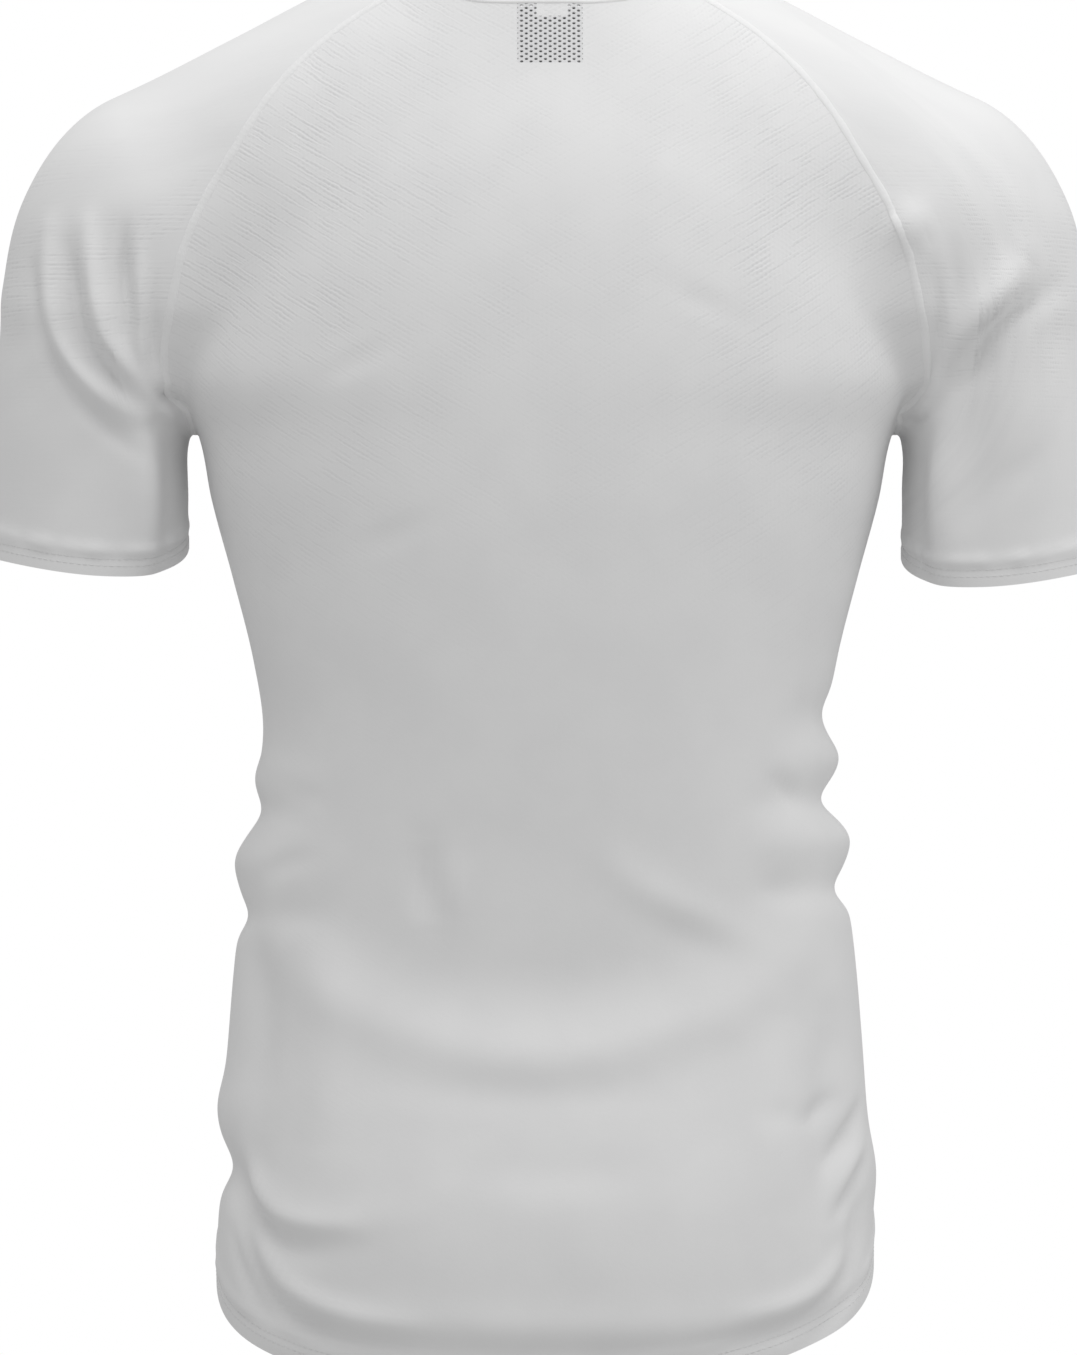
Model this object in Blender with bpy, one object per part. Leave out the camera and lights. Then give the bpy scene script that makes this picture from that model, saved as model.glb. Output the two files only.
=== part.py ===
"""Short-sleeved mesh base layer, in the form that it keeps when it is worn.

Each piece that is cut and sewn is one closed object: the back and front panels, two raglan
sleeves, the collar band and the neck label.  A general figure, given by two short tables of
sections, says how the cloth is filled out, and the seams are curves on that form.

Metres, +Z up.  The front faces -Y and the wearer's left is +X.  The origin lies midway
between the two shoulder-neck points, which is where the wearer's shoulders carry the cloth.
The sizes and tables are in millimetres.
"""
import math
from collections import namedtuple

import bpy
import numpy as np

MM = 0.001
UP = np.array((0.0, 0.0, 1.0))
MESH_WHITE = (0.86, 0.86, 0.86)
COLLAR_WHITE = (0.84, 0.84, 0.84)
LABEL_GREY = (0.12, 0.12, 0.13)

# ---------------------------------------------------------------- driving dimensions
WALL = 1.3                    # one layer of mesh, as a solid wall
HEM_WALL = 2.4                # the turned-up fold at a hem or a cuff
COLLAR_WALL = 2.0
COLLAR_HEIGHT = 16.0
SEAM_GAP = 0.3

LABEL_WIDTH = 28.7
LABEL_CENTRE = -2.1
LABEL_TOP = -35.0
LABEL_BOTTOM = -62.0
LABEL_WALL = 1.0
LABEL_CLEARANCE = 0.3

UNDERARM = (164.6, -12.0, -229.3)
SIDE_SEAM_ANGLE = 96.0        # 0 degrees is the centre of the back, 90 the left side
SIDE_HEM = {"left": -612.0, "right": -602.0}
BACK_HEM_DROP = 64.0
BACK_HEM_ROUNDNESS = 2.75
FRONT_HEM_DROP = 26.0
FRONT_HEM_ROUNDNESS = 2.6
BACK_RAGLAN_TOP = 50.0        # angle round the neck at which each raglan seam ends
FRONT_RAGLAN_TOP = 122.0
CUFF_HEIGHT = {"left": -284.0, "right": -289.0}
CUFF_TILT = 12.0              # the back of a cuff hangs this much lower than its middle
SHOULDER_JOINT = -172.0
SHOULDER_FALL = (0.86, 0.0, -0.5)   # the way a sleeve's columns leave the shoulder
SHOULDER_FALL_FROM = -90.0
COLUMN_REACH = 0.4            # share of a column that runs on straight from either end
COLLAR_LEAN = 0.8             # how far the collar stands up rather than along the cloth

# Spaces of the grids that the panels are made of.
PANEL_COLUMNS = 20
SIDE_ROWS = 38
RAGLAN_ROWS = 18
RAGLAN_CROWDING = 1.25        # how much closer the rows are to the underarm
SIDE_ROW_CROWDING = 1.12
SIDE_CROWDING = 0.5           # how much closer a panel's columns are at its sides
NECK_COLUMNS = 8
SLEEVE_ROWS = 16
COLLAR_ROWS = 2
SEAM_ROW = 5.0                # a sleeve's first row lies this far inside its raglan seams
HEM_ROWS = 2                  # rows of grid points that the turned-up fold takes in

# Level sections of the body.  The depths run from the plane through the shoulders.
Section = namedtuple("Section", "height half_width back front squareness")
BODY = (
    Section(-678, 150, 96, 101, 2.4),
    Section(-650, 153, 107, 103, 2.4),
    Section(-620, 154, 109, 103, 2.4),
    Section(-590, 153, 106, 103, 2.4),
    Section(-548, 151, 94, 102, 2.4),
    Section(-510, 148.5, 83, 101, 2.4),
    Section(-470, 145, 79, 100, 2.4),
    Section(-430, 139.5, 81, 100, 2.35),
    Section(-400, 135, 85, 100, 2.3),
    Section(-365, 132.5, 90, 101, 2.3),
    Section(-336, 137, 94, 104, 2.3),
    Section(-298, 146.5, 99, 109, 2.3),
    Section(-261, 156.5, 103, 113, 2.3),
    Section(-230, 163, 105, 114, 2.3),
    Section(-208, 173, 106, 113, 2.3),
    Section(-186, 171, 106, 110, 2.3),
    Section(-150, 164, 104, 101, 2.25),
    Section(-105, 154, 96, 84, 2.1),
    Section(-70, 128, 84, 62, 2.0),
    Section(-40, 88, 68, 40, 2.0),
    Section(-15, 50, 48, 20, 2.0),
)

# Level sections of the left arm; the right arm is its mirror image.
ArmSection = namedtuple("ArmSection", "height centre_x centre_y radius_x radius_y")
ARM = (
    ArmSection(-330, 221, -22, 52, 57),
    ArmSection(-290, 219, -17, 50.5, 56),
    ArmSection(-260, 217.5, -13, 49, 55),
    ArmSection(-228, 214.5, -9, 48, 55),
    ArmSection(-200, 203.5, -6, 55.3, 57),
    ArmSection(-186, 197, -4, 59.5, 58.5),
    ArmSection(-172, 193.4, -2, 62.5, 60),
)
RIDGE_START = (14.0, 4.0, -42.0)
RIDGE_END = (178.5, 2.0, -122.0)
RIDGE_RADIUS = 54.8
PARTING_SLOPE = 1.6           # how fast body and sleeve part below the underarm
PARTING_ONSET = 3.0
# How softly the cloth bridges from one part of the figure to the next.
UNDERARM_ROUNDING = 8.0
SHOULDER_ROUNDING = 45.0
SHOULDER_BLADE = (-222.0, -120.0)   # heights between which the one grows into the other
RIDGE_ROUNDING = 40.0
NECK_ROUNDING = 26.0
NECK_HALF_WIDTH = 68.0
NECK_BACK_DEPTH = 60.0
NECK_FRONT_DEPTH = 48.0

# The neck seam: its height at each angle round the neck.
NeckPlace = namedtuple("NeckPlace", "angle height")
NECK_SEAM = (
    NeckPlace(0, -33), NeckPlace(25, -32), NeckPlace(45, -25), NeckPlace(60, -16),
    NeckPlace(75, -6), NeckPlace(90, -1), NeckPlace(105, -7), NeckPlace(120, -24),
    NeckPlace(140, -57), NeckPlace(160, -82), NeckPlace(180, -90),
)

# The left raglan seams as they look squarely from behind and from in front.
SeamPlace = namedtuple("SeamPlace", "across height")
BACK_RAGLAN = (
    SeamPlace(78, -32), SeamPlace(96, -44), SeamPlace(109.5, -55.5), SeamPlace(121, -67.5),
    SeamPlace(131, -80), SeamPlace(142, -98), SeamPlace(150.5, -111.5), SeamPlace(157.5, -124.5),
    SeamPlace(163.5, -137), SeamPlace(168.5, -151), SeamPlace(172.5, -170), SeamPlace(176, -189),
    SeamPlace(176.5, -205), SeamPlace(173, -215), SeamPlace(167.5, -220.5),
)
FRONT_RAGLAN = (
    SeamPlace(82, -56), SeamPlace(104, -84), SeamPlace(126, -112), SeamPlace(144, -142),
    SeamPlace(158, -172), SeamPlace(168, -198), SeamPlace(171, -213), SeamPlace(166, -223),
)


# ---------------------------------------------------------------- smooth tables
def smooth_reader(rows, key, column):
    """A function that reads one column of a table at any key, as a smooth curve."""
    rows = sorted(rows, key=lambda row: getattr(row, key))
    keys = np.array([getattr(row, key) for row in rows], float)
    values = np.array([getattr(row, column) for row in rows], float)
    slopes = np.gradient(values, keys)

    def read(at):
        at = np.clip(at, keys[0], keys[-1])
        i = np.clip(np.searchsorted(keys, at) - 1, 0, len(keys) - 2)
        span = keys[i + 1] - keys[i]
        t = (at - keys[i]) / span
        blend = t * t * (3 - 2 * t)
        start = (t - 1) ** 2 * t * span * slopes[i]
        end = (t - 1) * t * t * span * slopes[i + 1]
        return values[i] * (1 - blend) + values[i + 1] * blend + start + end

    return read


body_width, body_back, body_front, body_square = (
    smooth_reader(BODY, "height", column)
    for column in ("half_width", "back", "front", "squareness"))
arm_x, arm_y, arm_rx, arm_ry = (
    smooth_reader(ARM, "height", column)
    for column in ("centre_x", "centre_y", "radius_x", "radius_y"))
neck_seam_height = smooth_reader(NECK_SEAM, "angle", "height")


def smooth_step(low, high, value):
    t = np.clip((value - low) / (high - low), 0, 1)
    return t * t * (3 - 2 * t)


# ---------------------------------------------------------------- the form that fills the cloth
def body_reach(points):
    """How far the body's level section reaches in each point's direction."""
    x, y, z = points[..., 0], points[..., 1], points[..., 2]
    away = np.maximum(np.hypot(x, y), 1e-6)
    depth = np.where(y > 0, body_back(z), body_front(z))
    power = body_square(z)
    across = (np.abs(x) / away / body_width(z)) ** power
    along = (np.abs(y) / away / depth) ** power
    return (across + along) ** (-1 / power)


def body_gap(points):
    """Distance of each point from the body, less than 0 inside it."""
    step = np.array((0, 0, 2.0))
    slope = (body_reach(points + step) - body_reach(points - step)) / 4.0
    away = np.hypot(points[..., 0], points[..., 1])
    return (away - body_reach(points)) / np.sqrt(1 + slope ** 2)


def arm_gap(points):
    """Distance from the nearer arm, which has a round top at the shoulder joint."""
    z = np.minimum(points[..., 2], SHOULDER_JOINT)
    across = (np.abs(points[..., 0]) - arm_x(z)) / arm_rx(z)
    along = (points[..., 1] - arm_y(z)) / arm_ry(z)
    up = (points[..., 2] - z) / arm_rx(z)
    return (np.sqrt(across ** 2 + along ** 2 + up ** 2) - 1) * arm_rx(z)


def ridge_gap(points):
    """Distance from the slope that runs from the neck to the nearer shoulder."""
    folded = np.concatenate((np.abs(points[..., :1]), points[..., 1:]), axis=-1)
    start = np.array(RIDGE_START)
    along = np.array(RIDGE_END) - start
    t = np.clip((folded - start) @ along / (along @ along), 0, 1)
    return np.linalg.norm(folded - start - t[..., None] * along, axis=-1) - RIDGE_RADIUS


def neck_gap(points):
    x, y = points[..., 0], points[..., 1]
    depth = np.where(y > 0, NECK_BACK_DEPTH, NECK_FRONT_DEPTH)
    return (np.hypot(x / NECK_HALF_WIDTH, y / depth) - 1) * depth


def soft_union(a, b, reach):
    """The nearer of two distances, rounded where they meet."""
    share = np.clip(0.5 + 0.5 * (b - a) / reach, 0, 1)
    return b + (a - b) * share - reach * share * (1 - share)


def cloth_gap(points, part):
    """Distance from the cloth's outer face.  Under the arm, sleeve and body are apart."""
    height = points[..., 2]
    below = np.maximum(UNDERARM[2] - height, 0)
    apart = PARTING_SLOPE * below ** 2 / (below + PARTING_ONSET)
    sleeve, body = arm_gap(points), body_gap(points)
    if part == "sleeve":
        body = body + apart
    else:
        sleeve = sleeve + apart
    gap = soft_union(body, ridge_gap(points), RIDGE_ROUNDING)
    softer = smooth_step(*SHOULDER_BLADE, height)
    rounding = UNDERARM_ROUNDING * (1 - softer) + SHOULDER_ROUNDING * softer
    gap = soft_union(gap, sleeve, rounding)
    return soft_union(gap, neck_gap(points), NECK_ROUNDING)


def gradient(measure, points):
    """Slope of a measure over space, by central differences."""
    slopes = []
    for axis in range(3):
        step = np.zeros(3)
        step[axis] = 0.5
        slopes.append(measure(points + step) - measure(points - step))
    return np.stack(slopes, axis=-1)


def unit(vectors):
    return vectors / np.maximum(np.linalg.norm(vectors, axis=-1, keepdims=True), 1e-9)


def outward(points, part):
    return unit(gradient(lambda places: cloth_gap(places, part), points))


def settle(points, part, rounds=12, longest=12.0):
    """Move points along the slope until they lie on the cloth's outer face."""
    for _ in range(rounds):
        slope = gradient(lambda places: cloth_gap(places, part), points)
        steepness = np.maximum(np.linalg.norm(slope, axis=-1), 1e-3)
        move = np.clip(-cloth_gap(points, part) / steepness, -longest, longest)
        points = points + slope * (move / steepness)[..., None]
    return points


# ---------------------------------------------------------------- places and curves on it
def first_crossing(ray, part, leaving):
    """The point at which a ray enters the form, or leaves it."""
    gap = cloth_gap(ray, part)
    past = gap > 0 if leaving else gap < 0
    i = int(np.argmax(past))
    share = gap[i - 1] / (gap[i - 1] - gap[i])
    return ray[i - 1] + (ray[i] - ray[i - 1]) * share


def round_body(angle, height, part="body"):
    """The outer face at an angle round the body; 0 degrees is the back, 90 the left side."""
    turn = math.radians(angle)
    reach = np.linspace(20, 240, 221)
    ray = np.stack((reach * math.sin(turn), reach * math.cos(turn), reach * 0 + height), axis=1)
    return first_crossing(ray, part, leaving=True)


def seen_from(side, across, height, part="body"):
    """The outer face at a place as seen from behind (side 1) or from in front (side -1)."""
    depth = np.linspace(160, -160, 321) * side
    ray = np.stack((depth * 0 + across, depth, depth * 0 + height), axis=1)
    return first_crossing(ray, part, leaving=False)


UNDERARM_POINT = settle(np.array([UNDERARM]), "body")[0]


def even_shares(spaces):
    return np.linspace(0, 1, spaces + 1)


def crowded_shares(spaces):
    """Shares of a panel's width, closer together towards both of its sides."""
    shares = even_shares(spaces)
    return shares - SIDE_CROWDING * np.sin(2 * math.pi * shares) / (2 * math.pi)


def smooth_curve(points, shares):
    """A smooth curve through points, read at shares of its length."""
    points = np.asarray(points, float)
    travel = np.concatenate(([0], np.cumsum(np.linalg.norm(np.diff(points, axis=0), axis=1))))
    slopes = np.gradient(points, travel, axis=0)
    fine = np.linspace(0, travel[-1], 12 * len(points))
    i = np.clip(np.searchsorted(travel, fine) - 1, 0, len(travel) - 2)
    span = (travel[i + 1] - travel[i])[:, None]
    t = (fine - travel[i])[:, None] / span
    blend = t * t * (3 - 2 * t)
    curve = (points[i] * (1 - blend) + points[i + 1] * blend
             + (t - 1) ** 2 * t * span * slopes[i] + (t - 1) * t * t * span * slopes[i + 1])
    steps = np.linalg.norm(np.diff(curve, axis=0), axis=1)
    travel = np.concatenate(([0], np.cumsum(steps)))
    places = travel[-1] * shares
    return np.stack([np.interp(places, travel, curve[:, axis]) for axis in range(3)], axis=1)


def mirrored(points):
    return points * np.array((-1, 1, 1))


def neck_curve(start, end, shares):
    """The neck seam between two angles, counted from the back over the left side."""
    places = []
    for angle in np.linspace(start, end, 21):
        fold = abs((angle + 180) % 360 - 180)
        places.append(round_body(angle, float(neck_seam_height(fold))))
    return smooth_curve(places, shares)


def raglan_curve(side, places, top_angle):
    """A left raglan seam, from the underarm up to the neck seam."""
    climb = [seen_from(side, place.across, place.height) for place in reversed(places)]
    top = round_body(top_angle, float(neck_seam_height(top_angle)))
    shares = even_shares(RAGLAN_ROWS) ** RAGLAN_CROWDING
    curve = smooth_curve([UNDERARM_POINT] + climb + [top], shares)
    curve[1:] = settle(curve[1:], "body")
    return curve


def side_curve(hem_height):
    """The left side seam, from the hem up to the underarm."""
    heights = np.linspace(hem_height, UNDERARM[2] - 12, 24)
    climb = [round_body(SIDE_SEAM_ANGLE, height) for height in heights]
    shares = 1 - even_shares(SIDE_ROWS)[::-1] ** SIDE_ROW_CROWDING
    return smooth_curve(climb + [UNDERARM_POINT], shares)


def hem_curve(start, end, drop, roundness):
    """A panel's hem from the left side seam to the right one, lowest at its middle."""
    places = []
    for share in np.linspace(-1, 1, 41):
        angle = (start + end) / 2 + share * (end - start) / 2
        level = SIDE_HEM["left"] + (SIDE_HEM["right"] - SIDE_HEM["left"]) * (share + 1) / 2
        places.append(round_body(angle, level - drop * (1 - abs(share) ** roundness)))
    return smooth_curve(places, crowded_shares(PANEL_COLUMNS))


# ---------------------------------------------------------------- folds
# A fold is a soft ridge, or a trough where its rise is below 0, along a path over the outer
# face.  Each place of a path is seen from behind, from in front, or from one side.
Fold = namedtuple("Fold", "rise half_width path")
Place = namedtuple("Place", "view across height")


def fold_on(view, rise, half_width, *places):
    """A fold whose places are all seen in one view."""
    return Fold(rise, half_width, [Place(view, *place) for place in places])


def side_tuck(view, rise, half_width, height, back_end=50, front_end=-60, lift=0):
    """A fold that runs level round one side, or climbs by lift towards the front."""
    middle = (back_end + front_end) / 2
    return fold_on(view, rise, half_width, (back_end, height), (middle, height + lift / 2),
                   (front_end, height + lift))


SIDE_TUCKS = [
    side_tuck("left", 2.5, 10, -390),
    side_tuck("left", -3, 8, -407),
    side_tuck("left", 6, 13, -431, back_end=60),
    side_tuck("left", -4, 8, -456, back_end=60),
    side_tuck("left", 3, 14, -545, back_end=60),
    side_tuck("left", -6, 11, -573, back_end=60),
    side_tuck("right", -3, 9, -361),
    side_tuck("right", 5, 10, -382),
    side_tuck("right", -6, 8, -401, back_end=60),
    side_tuck("right", 5, 10, -421, back_end=60),
    side_tuck("right", -6, 8, -443, back_end=60),
    side_tuck("right", 3, 18, -575, back_end=60),
]
BACK_FOLDS = [
    fold_on("back", 3.5, 14, (128, -455), (98, -485), (53, -503), (-2, -512), (-62, -497),
            (-107, -476), (-126, -450)),
    fold_on("back", -2.5, 18, (112, -446), (53, -473), (-2, -480), (-62, -464), (-112, -437)),
    fold_on("back", 2, 9, (-25, -423), (-44, -441), (-71, -455), (-98, -467)),
    fold_on("back", -2, 8, (-44, -451), (-66, -462), (-89, -471)),
    fold_on("back", -1.2, 10, (66, -532), (12, -535), (-43, -533)),
    fold_on("back", -1.2, 10, (39, -569), (-2, -571), (-43, -569)),
    fold_on("back", 3, 9, (143, -570), (130, -588), (111, -596), (66, -595)),
    fold_on("back", -2.5, 8, (137, -590), (122, -602), (100, -606), (66, -605)),
    fold_on("back", 2.5, 11, (132, -604), (118, -620), (94, -629), (53, -633), (-2, -639),
            (-71, -635), (-112, -628), (-134, -612)),
    fold_on("back", -2.5, 10, (118, -632), (94, -641), (53, -646), (-2, -651), (-71, -647),
            (-116, -637)),
    fold_on("back", -2.5, 8, (-146, -552), (-138, -564), (-130, -575)),
    fold_on("back", -3, 8, (-147, -580), (-142, -600), (-128, -622)),
    fold_on("back", 3, 12, (-160, -129), (-168, -136), (-176, -142)),
]
FRONT_FOLDS = [
    fold_on("front", 2.5, 13, (118, -452), (70, -476), (4, -484), (-66, -474), (-116, -446)),
    fold_on("front", -2, 12, (110, -430), (60, -448), (-8, -453), (-70, -447), (-108, -424)),
    fold_on("front", 2, 12, (-120, -560), (-84, -574), (-30, -579)),
    fold_on("front", 2, 11, (150, -236), (128, -214), (104, -198)),
    fold_on("front", 2, 11, (-152, -240), (-126, -216), (-106, -202)),
]
SLEEVE_FOLDS = [
    fold_on("back", 3.5, 9, (229, -156), (224, -184), (210, -209), (197, -221), (182, -221)),
    fold_on("back", 3, 8, (215, -142), (210, -170), (201, -193), (188, -210)),
    fold_on("back", -3, 7, (208, -186), (199, -202), (193, -211), (186, -215)),
    fold_on("back", -2.5, 8, (215, -214), (206, -226), (198, -234), (190, -240)),
    fold_on("back", 3.5, 13, (-215, -151), (-206, -170), (-192, -184), (-185, -193)),
    fold_on("back", -3.5, 9, (-229, -170), (-215, -179), (-203, -193), (-192, -209),
            (-185, -220)),
    fold_on("front", 3, 9, (222, -168), (208, -196), (190, -214)),
    fold_on("front", -3, 8, (226, -190), (210, -212), (192, -228)),
    fold_on("front", 3, 9, (-224, -164), (-206, -192), (-188, -212)),
    fold_on("front", -3, 8, (-224, -186), (-208, -210), (-190, -226)),
]
FOLDS = SIDE_TUCKS + BACK_FOLDS + FRONT_FOLDS + SLEEVE_FOLDS


def on_view(place):
    """The point of the outer face that a place names."""
    if place.view in ("back", "front"):
        return seen_from(1 if place.view == "back" else -1, place.across, place.height)
    side = 1 if place.view == "left" else -1
    reach = np.linspace(200, 60, 281) * side
    ray = np.stack((reach, reach * 0 + place.across, reach * 0 + place.height), axis=1)
    return first_crossing(ray, "body", leaving=False)


FOLD_STEPS = 14
FOLD_FADE = 0.08              # share of its rise that a fold keeps at its two ends
FOLD_LINES = [(fold, smooth_curve([on_view(place) for place in fold.path],
                                  even_shares(FOLD_STEPS))) for fold in FOLDS]


def fold_rise(points):
    """How far the folds lift each point off the plain form."""
    total = np.zeros(points.shape[:-1])
    for fold, line in FOLD_LINES:
        nearest = np.full(points.shape[:-1], np.inf)
        travel = np.zeros(points.shape[:-1])
        for i in range(FOLD_STEPS):
            along = line[i + 1] - line[i]
            t = np.clip((points - line[i]) @ along / (along @ along), 0, 1)
            gap = np.linalg.norm(points - line[i] - t[..., None] * along, axis=-1)
            travel = np.where(gap < nearest, (i + t) / FOLD_STEPS, travel)
            nearest = np.minimum(gap, nearest)
        fade = np.sin(math.pi * (FOLD_FADE + (1 - 2 * FOLD_FADE) * travel))
        total += fold.rise * fade * np.exp(-(nearest / fold.half_width) ** 2)
    return total


# ---------------------------------------------------------------- grids of the panels
def moves_inward(line, normals, inside, distance, closed=False):
    """Moves that draw an edge line back over the cloth, towards the side that inside names."""
    if closed:
        ahead = np.roll(line, -1, axis=0) - line
        behind = line - np.roll(line, 1, axis=0)
    else:
        ahead = np.diff(line, axis=0, append=(2 * line[-1] - line[-2])[None])
        behind = np.diff(line, axis=0, prepend=(2 * line[0] - line[1])[None])
    ahead, behind = unit(ahead), unit(behind)
    along = unit(ahead + behind)
    mitre = 1 / np.maximum((along * ahead).sum(axis=1), 0.5)
    across = unit(np.cross(along, normals))
    across *= np.sign((across * inside).sum())
    return across * (distance * mitre)[:, None]


def relax(grid, part, rounds, ring=False):
    """Even out a grid's inner points along the outer face; ring joins its last column."""
    for _ in range(rounds):
        inner = grid[1:-1] if ring else grid[1:-1, 1:-1]
        if ring:
            beside = np.roll(inner, 1, axis=1) + np.roll(inner, -1, axis=1)
            mean = (grid[2:] + grid[:-2] + beside) / 4
        else:
            mean = (grid[2:, 1:-1] + grid[:-2, 1:-1] + grid[1:-1, 2:] + grid[1:-1, :-2]) / 4
        inner[:] = settle(inner + 0.6 * (mean - inner), part, rounds=2)
    return grid


def panel_grid(left, right, hem, neck):
    """Rows from hem to neck and columns from left to right, on the cloth's outer face."""
    u = crowded_shares(len(hem) - 1)[None, :, None]
    climb = np.linalg.norm(np.diff(left, axis=0), axis=1)
    v = (np.concatenate(([0], np.cumsum(climb))) / climb.sum())[:, None, None]
    grid = left[:, None] * (1 - u) + right[:, None] * u + hem[None] * (1 - v) + neck[None] * v
    grid -= (hem[0] * (1 - v) + neck[0] * v) * (1 - u) + (hem[-1] * (1 - v) + neck[-1] * v) * u
    grid[1:-1, 1:-1] = settle(grid[1:-1, 1:-1], "body")
    return relax(grid, "body", rounds=6)


def sleeve_grid(back_seam, front_seam, neck, cuff_height):
    """Rows from the cuff to the raglan seams; columns from the underarm round by the back."""
    top = np.concatenate((back_seam, neck[1:], front_seam[::-1][1:-1]))
    turn = np.linspace(0, 2 * math.pi, len(top), endpoint=False)
    height = cuff_height - CUFF_TILT * np.sin(turn)
    cuff = np.stack((arm_x(height) - arm_rx(height) * np.cos(turn),
                     arm_y(height) + arm_ry(height) * np.sin(turn), height), axis=1)
    reach = np.linalg.norm(top - cuff, axis=1, keepdims=True)
    upper = smooth_step(UNDERARM[2], SHOULDER_FALL_FROM, top[:, 2:])
    slope = unit(np.array(SHOULDER_FALL) * upper - UP * (1 - upper))
    v = even_shares(SLEEVE_ROWS)[:, None, None]
    rise = cuff + UP * COLUMN_REACH * reach
    fall = top + slope * COLUMN_REACH * reach
    grid = (cuff * (1 - v) ** 3 + 3 * rise * v * (1 - v) ** 2
            + 3 * fall * v * v * (1 - v) + top * v ** 3)
    beside = top + moves_inward(top, outward(top, "sleeve"), cuff - top, SEAM_ROW, closed=True)
    grid[-2] = beside
    grid[1:-1] = settle(grid[1:-1], "sleeve")
    relax(grid[:-1], "sleeve", rounds=30, ring=True)
    return grid


def raised(points, part):
    """The outer face with its folds, and the direction that points out of it."""
    slope = gradient(fold_rise, points)
    normals = outward(points, part)
    rise = fold_rise(points)
    steep = slope - (slope * normals).sum(axis=-1, keepdims=True) * normals
    return points + normals * rise[..., None], unit(normals - steep)


def draw_back(outer, normals, ring):
    """Leave half a seam gap along every edge that is sewn to another piece."""
    moved = outer.copy()
    moved[-1] += moves_inward(outer[-1], normals[-1], outer[-2] - outer[-1], SEAM_GAP / 2, ring)
    if not ring:
        for edge, beside in ((0, 1), (-1, -2)):
            inside = outer[:, beside] - outer[:, edge]
            moved[:, edge] += moves_inward(outer[:, edge], normals[:, edge], inside, SEAM_GAP / 2)
    return moved


# ---------------------------------------------------------------- solids
def cloth_finish(name, colour, roughness):
    """The material of one piece."""
    finish = bpy.data.materials.new(name)
    finish.use_nodes = True
    shader = finish.node_tree.nodes["Principled BSDF"]
    shader.inputs["Base Color"].default_value = (*colour, 1)
    shader.inputs["Roughness"].default_value = roughness
    shader.inputs["Metallic"].default_value = 0
    return finish


def volume(verts, faces):
    """Volume that closed triangles hold, less than 0 where they face inwards."""
    a, b, c = (verts[np.array(faces)[:, corner]] for corner in range(3))
    return float((np.cross(a, b) * c).sum()) / 6


def walled(name, outer, inner, ring, finish):
    """One closed object between an outer and an inner grid; ring joins the last column."""
    rows, columns = outer.shape[:2]
    verts = np.concatenate((outer.reshape(-1, 3), inner.reshape(-1, 3))) * MM
    spans = columns if ring else columns - 1

    def at(row, column, face):
        return face * rows * columns + row * columns + column % columns

    faces = []
    for row in range(rows - 1):
        for column in range(spans):
            for face, turn in ((0, 1), (1, -1)):
                a, b = at(row, column, face), at(row, column + 1, face)
                c, d = at(row + 1, column + 1, face), at(row + 1, column, face)
                faces += [(a, b, c)[::turn], (a, c, d)[::turn]]
    rims = [[at(0, column, 0) for column in range(spans + 1)],
            [at(rows - 1, column, 0) for column in range(spans, -1, -1)]]
    if not ring:
        rims.append([at(row, columns - 1, 0) for row in range(rows)])
        rims.append([at(row, 0, 0) for row in range(rows - 1, -1, -1)])
    for rim in rims:
        for a, b in zip(rim, rim[1:]):
            under_a, under_b = a + rows * columns, b + rows * columns
            faces += [(a, under_a, under_b), (a, under_b, b)]
    if volume(verts, faces) < 0:
        faces = [face[::-1] for face in faces]
    mesh = bpy.data.meshes.new(name)
    mesh.from_pydata(verts.tolist(), [], faces)
    mesh.shade_smooth()
    mesh.set_sharp_from_angle(angle=math.radians(40))
    piece = bpy.data.objects.new(name, mesh)
    piece.data.materials.append(finish)
    bpy.context.scene.collection.objects.link(piece)
    return piece


def sewn_panel(name, grid, part, finish, ring=False):
    """A panel's solid, from its grid on the plain form; its lowest rows are the turned hem."""
    outer, normals = raised(grid, part)
    outer = draw_back(outer, normals, ring)
    walls = np.where(np.arange(len(grid)) < HEM_ROWS, HEM_WALL, WALL)
    inner = outer - normals * walls[:, None, None]
    return walled(name, outer, inner, ring, finish)


def collar_band(loop, finish):
    """The band that stands round the neck opening, on the neck seam."""
    normals = outward(loop, "body")
    ahead = np.roll(loop, -1, axis=0) - np.roll(loop, 1, axis=0)
    climb = unit(np.cross(normals, unit(ahead)))
    climb *= np.sign(climb[:, 2])[:, None]
    rise = unit(climb + UP * COLLAR_LEAN)
    rows = []
    for height in np.linspace(SEAM_GAP / 2, COLLAR_HEIGHT, COLLAR_ROWS + 1):
        rows.append(loop + rise * height)
    outer = np.stack(rows)
    around = np.roll(outer, -1, axis=1) - np.roll(outer, 1, axis=1)
    facing = unit(np.cross(rise[None], around))
    facing *= np.sign((facing * normals[None]).sum(axis=-1))[..., None]
    return walled("collar", outer, outer - facing * COLLAR_WALL, True, finish)


def neck_label(finish):
    """The label that hangs from the neck seam, just inside the back panel."""
    across = np.linspace(LABEL_CENTRE + LABEL_WIDTH / 2, LABEL_CENTRE - LABEL_WIDTH / 2, 9)
    heights = np.linspace(LABEL_BOTTOM, LABEL_TOP, 7)
    guess = [[seen_from(1, x, height) for x in across] for height in heights]
    face, normals = raised(np.array(guess), "body")
    outer = face - normals * (WALL + LABEL_CLEARANCE)
    return walled("neck_label", outer, outer - normals * LABEL_WALL, False, finish)


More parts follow.
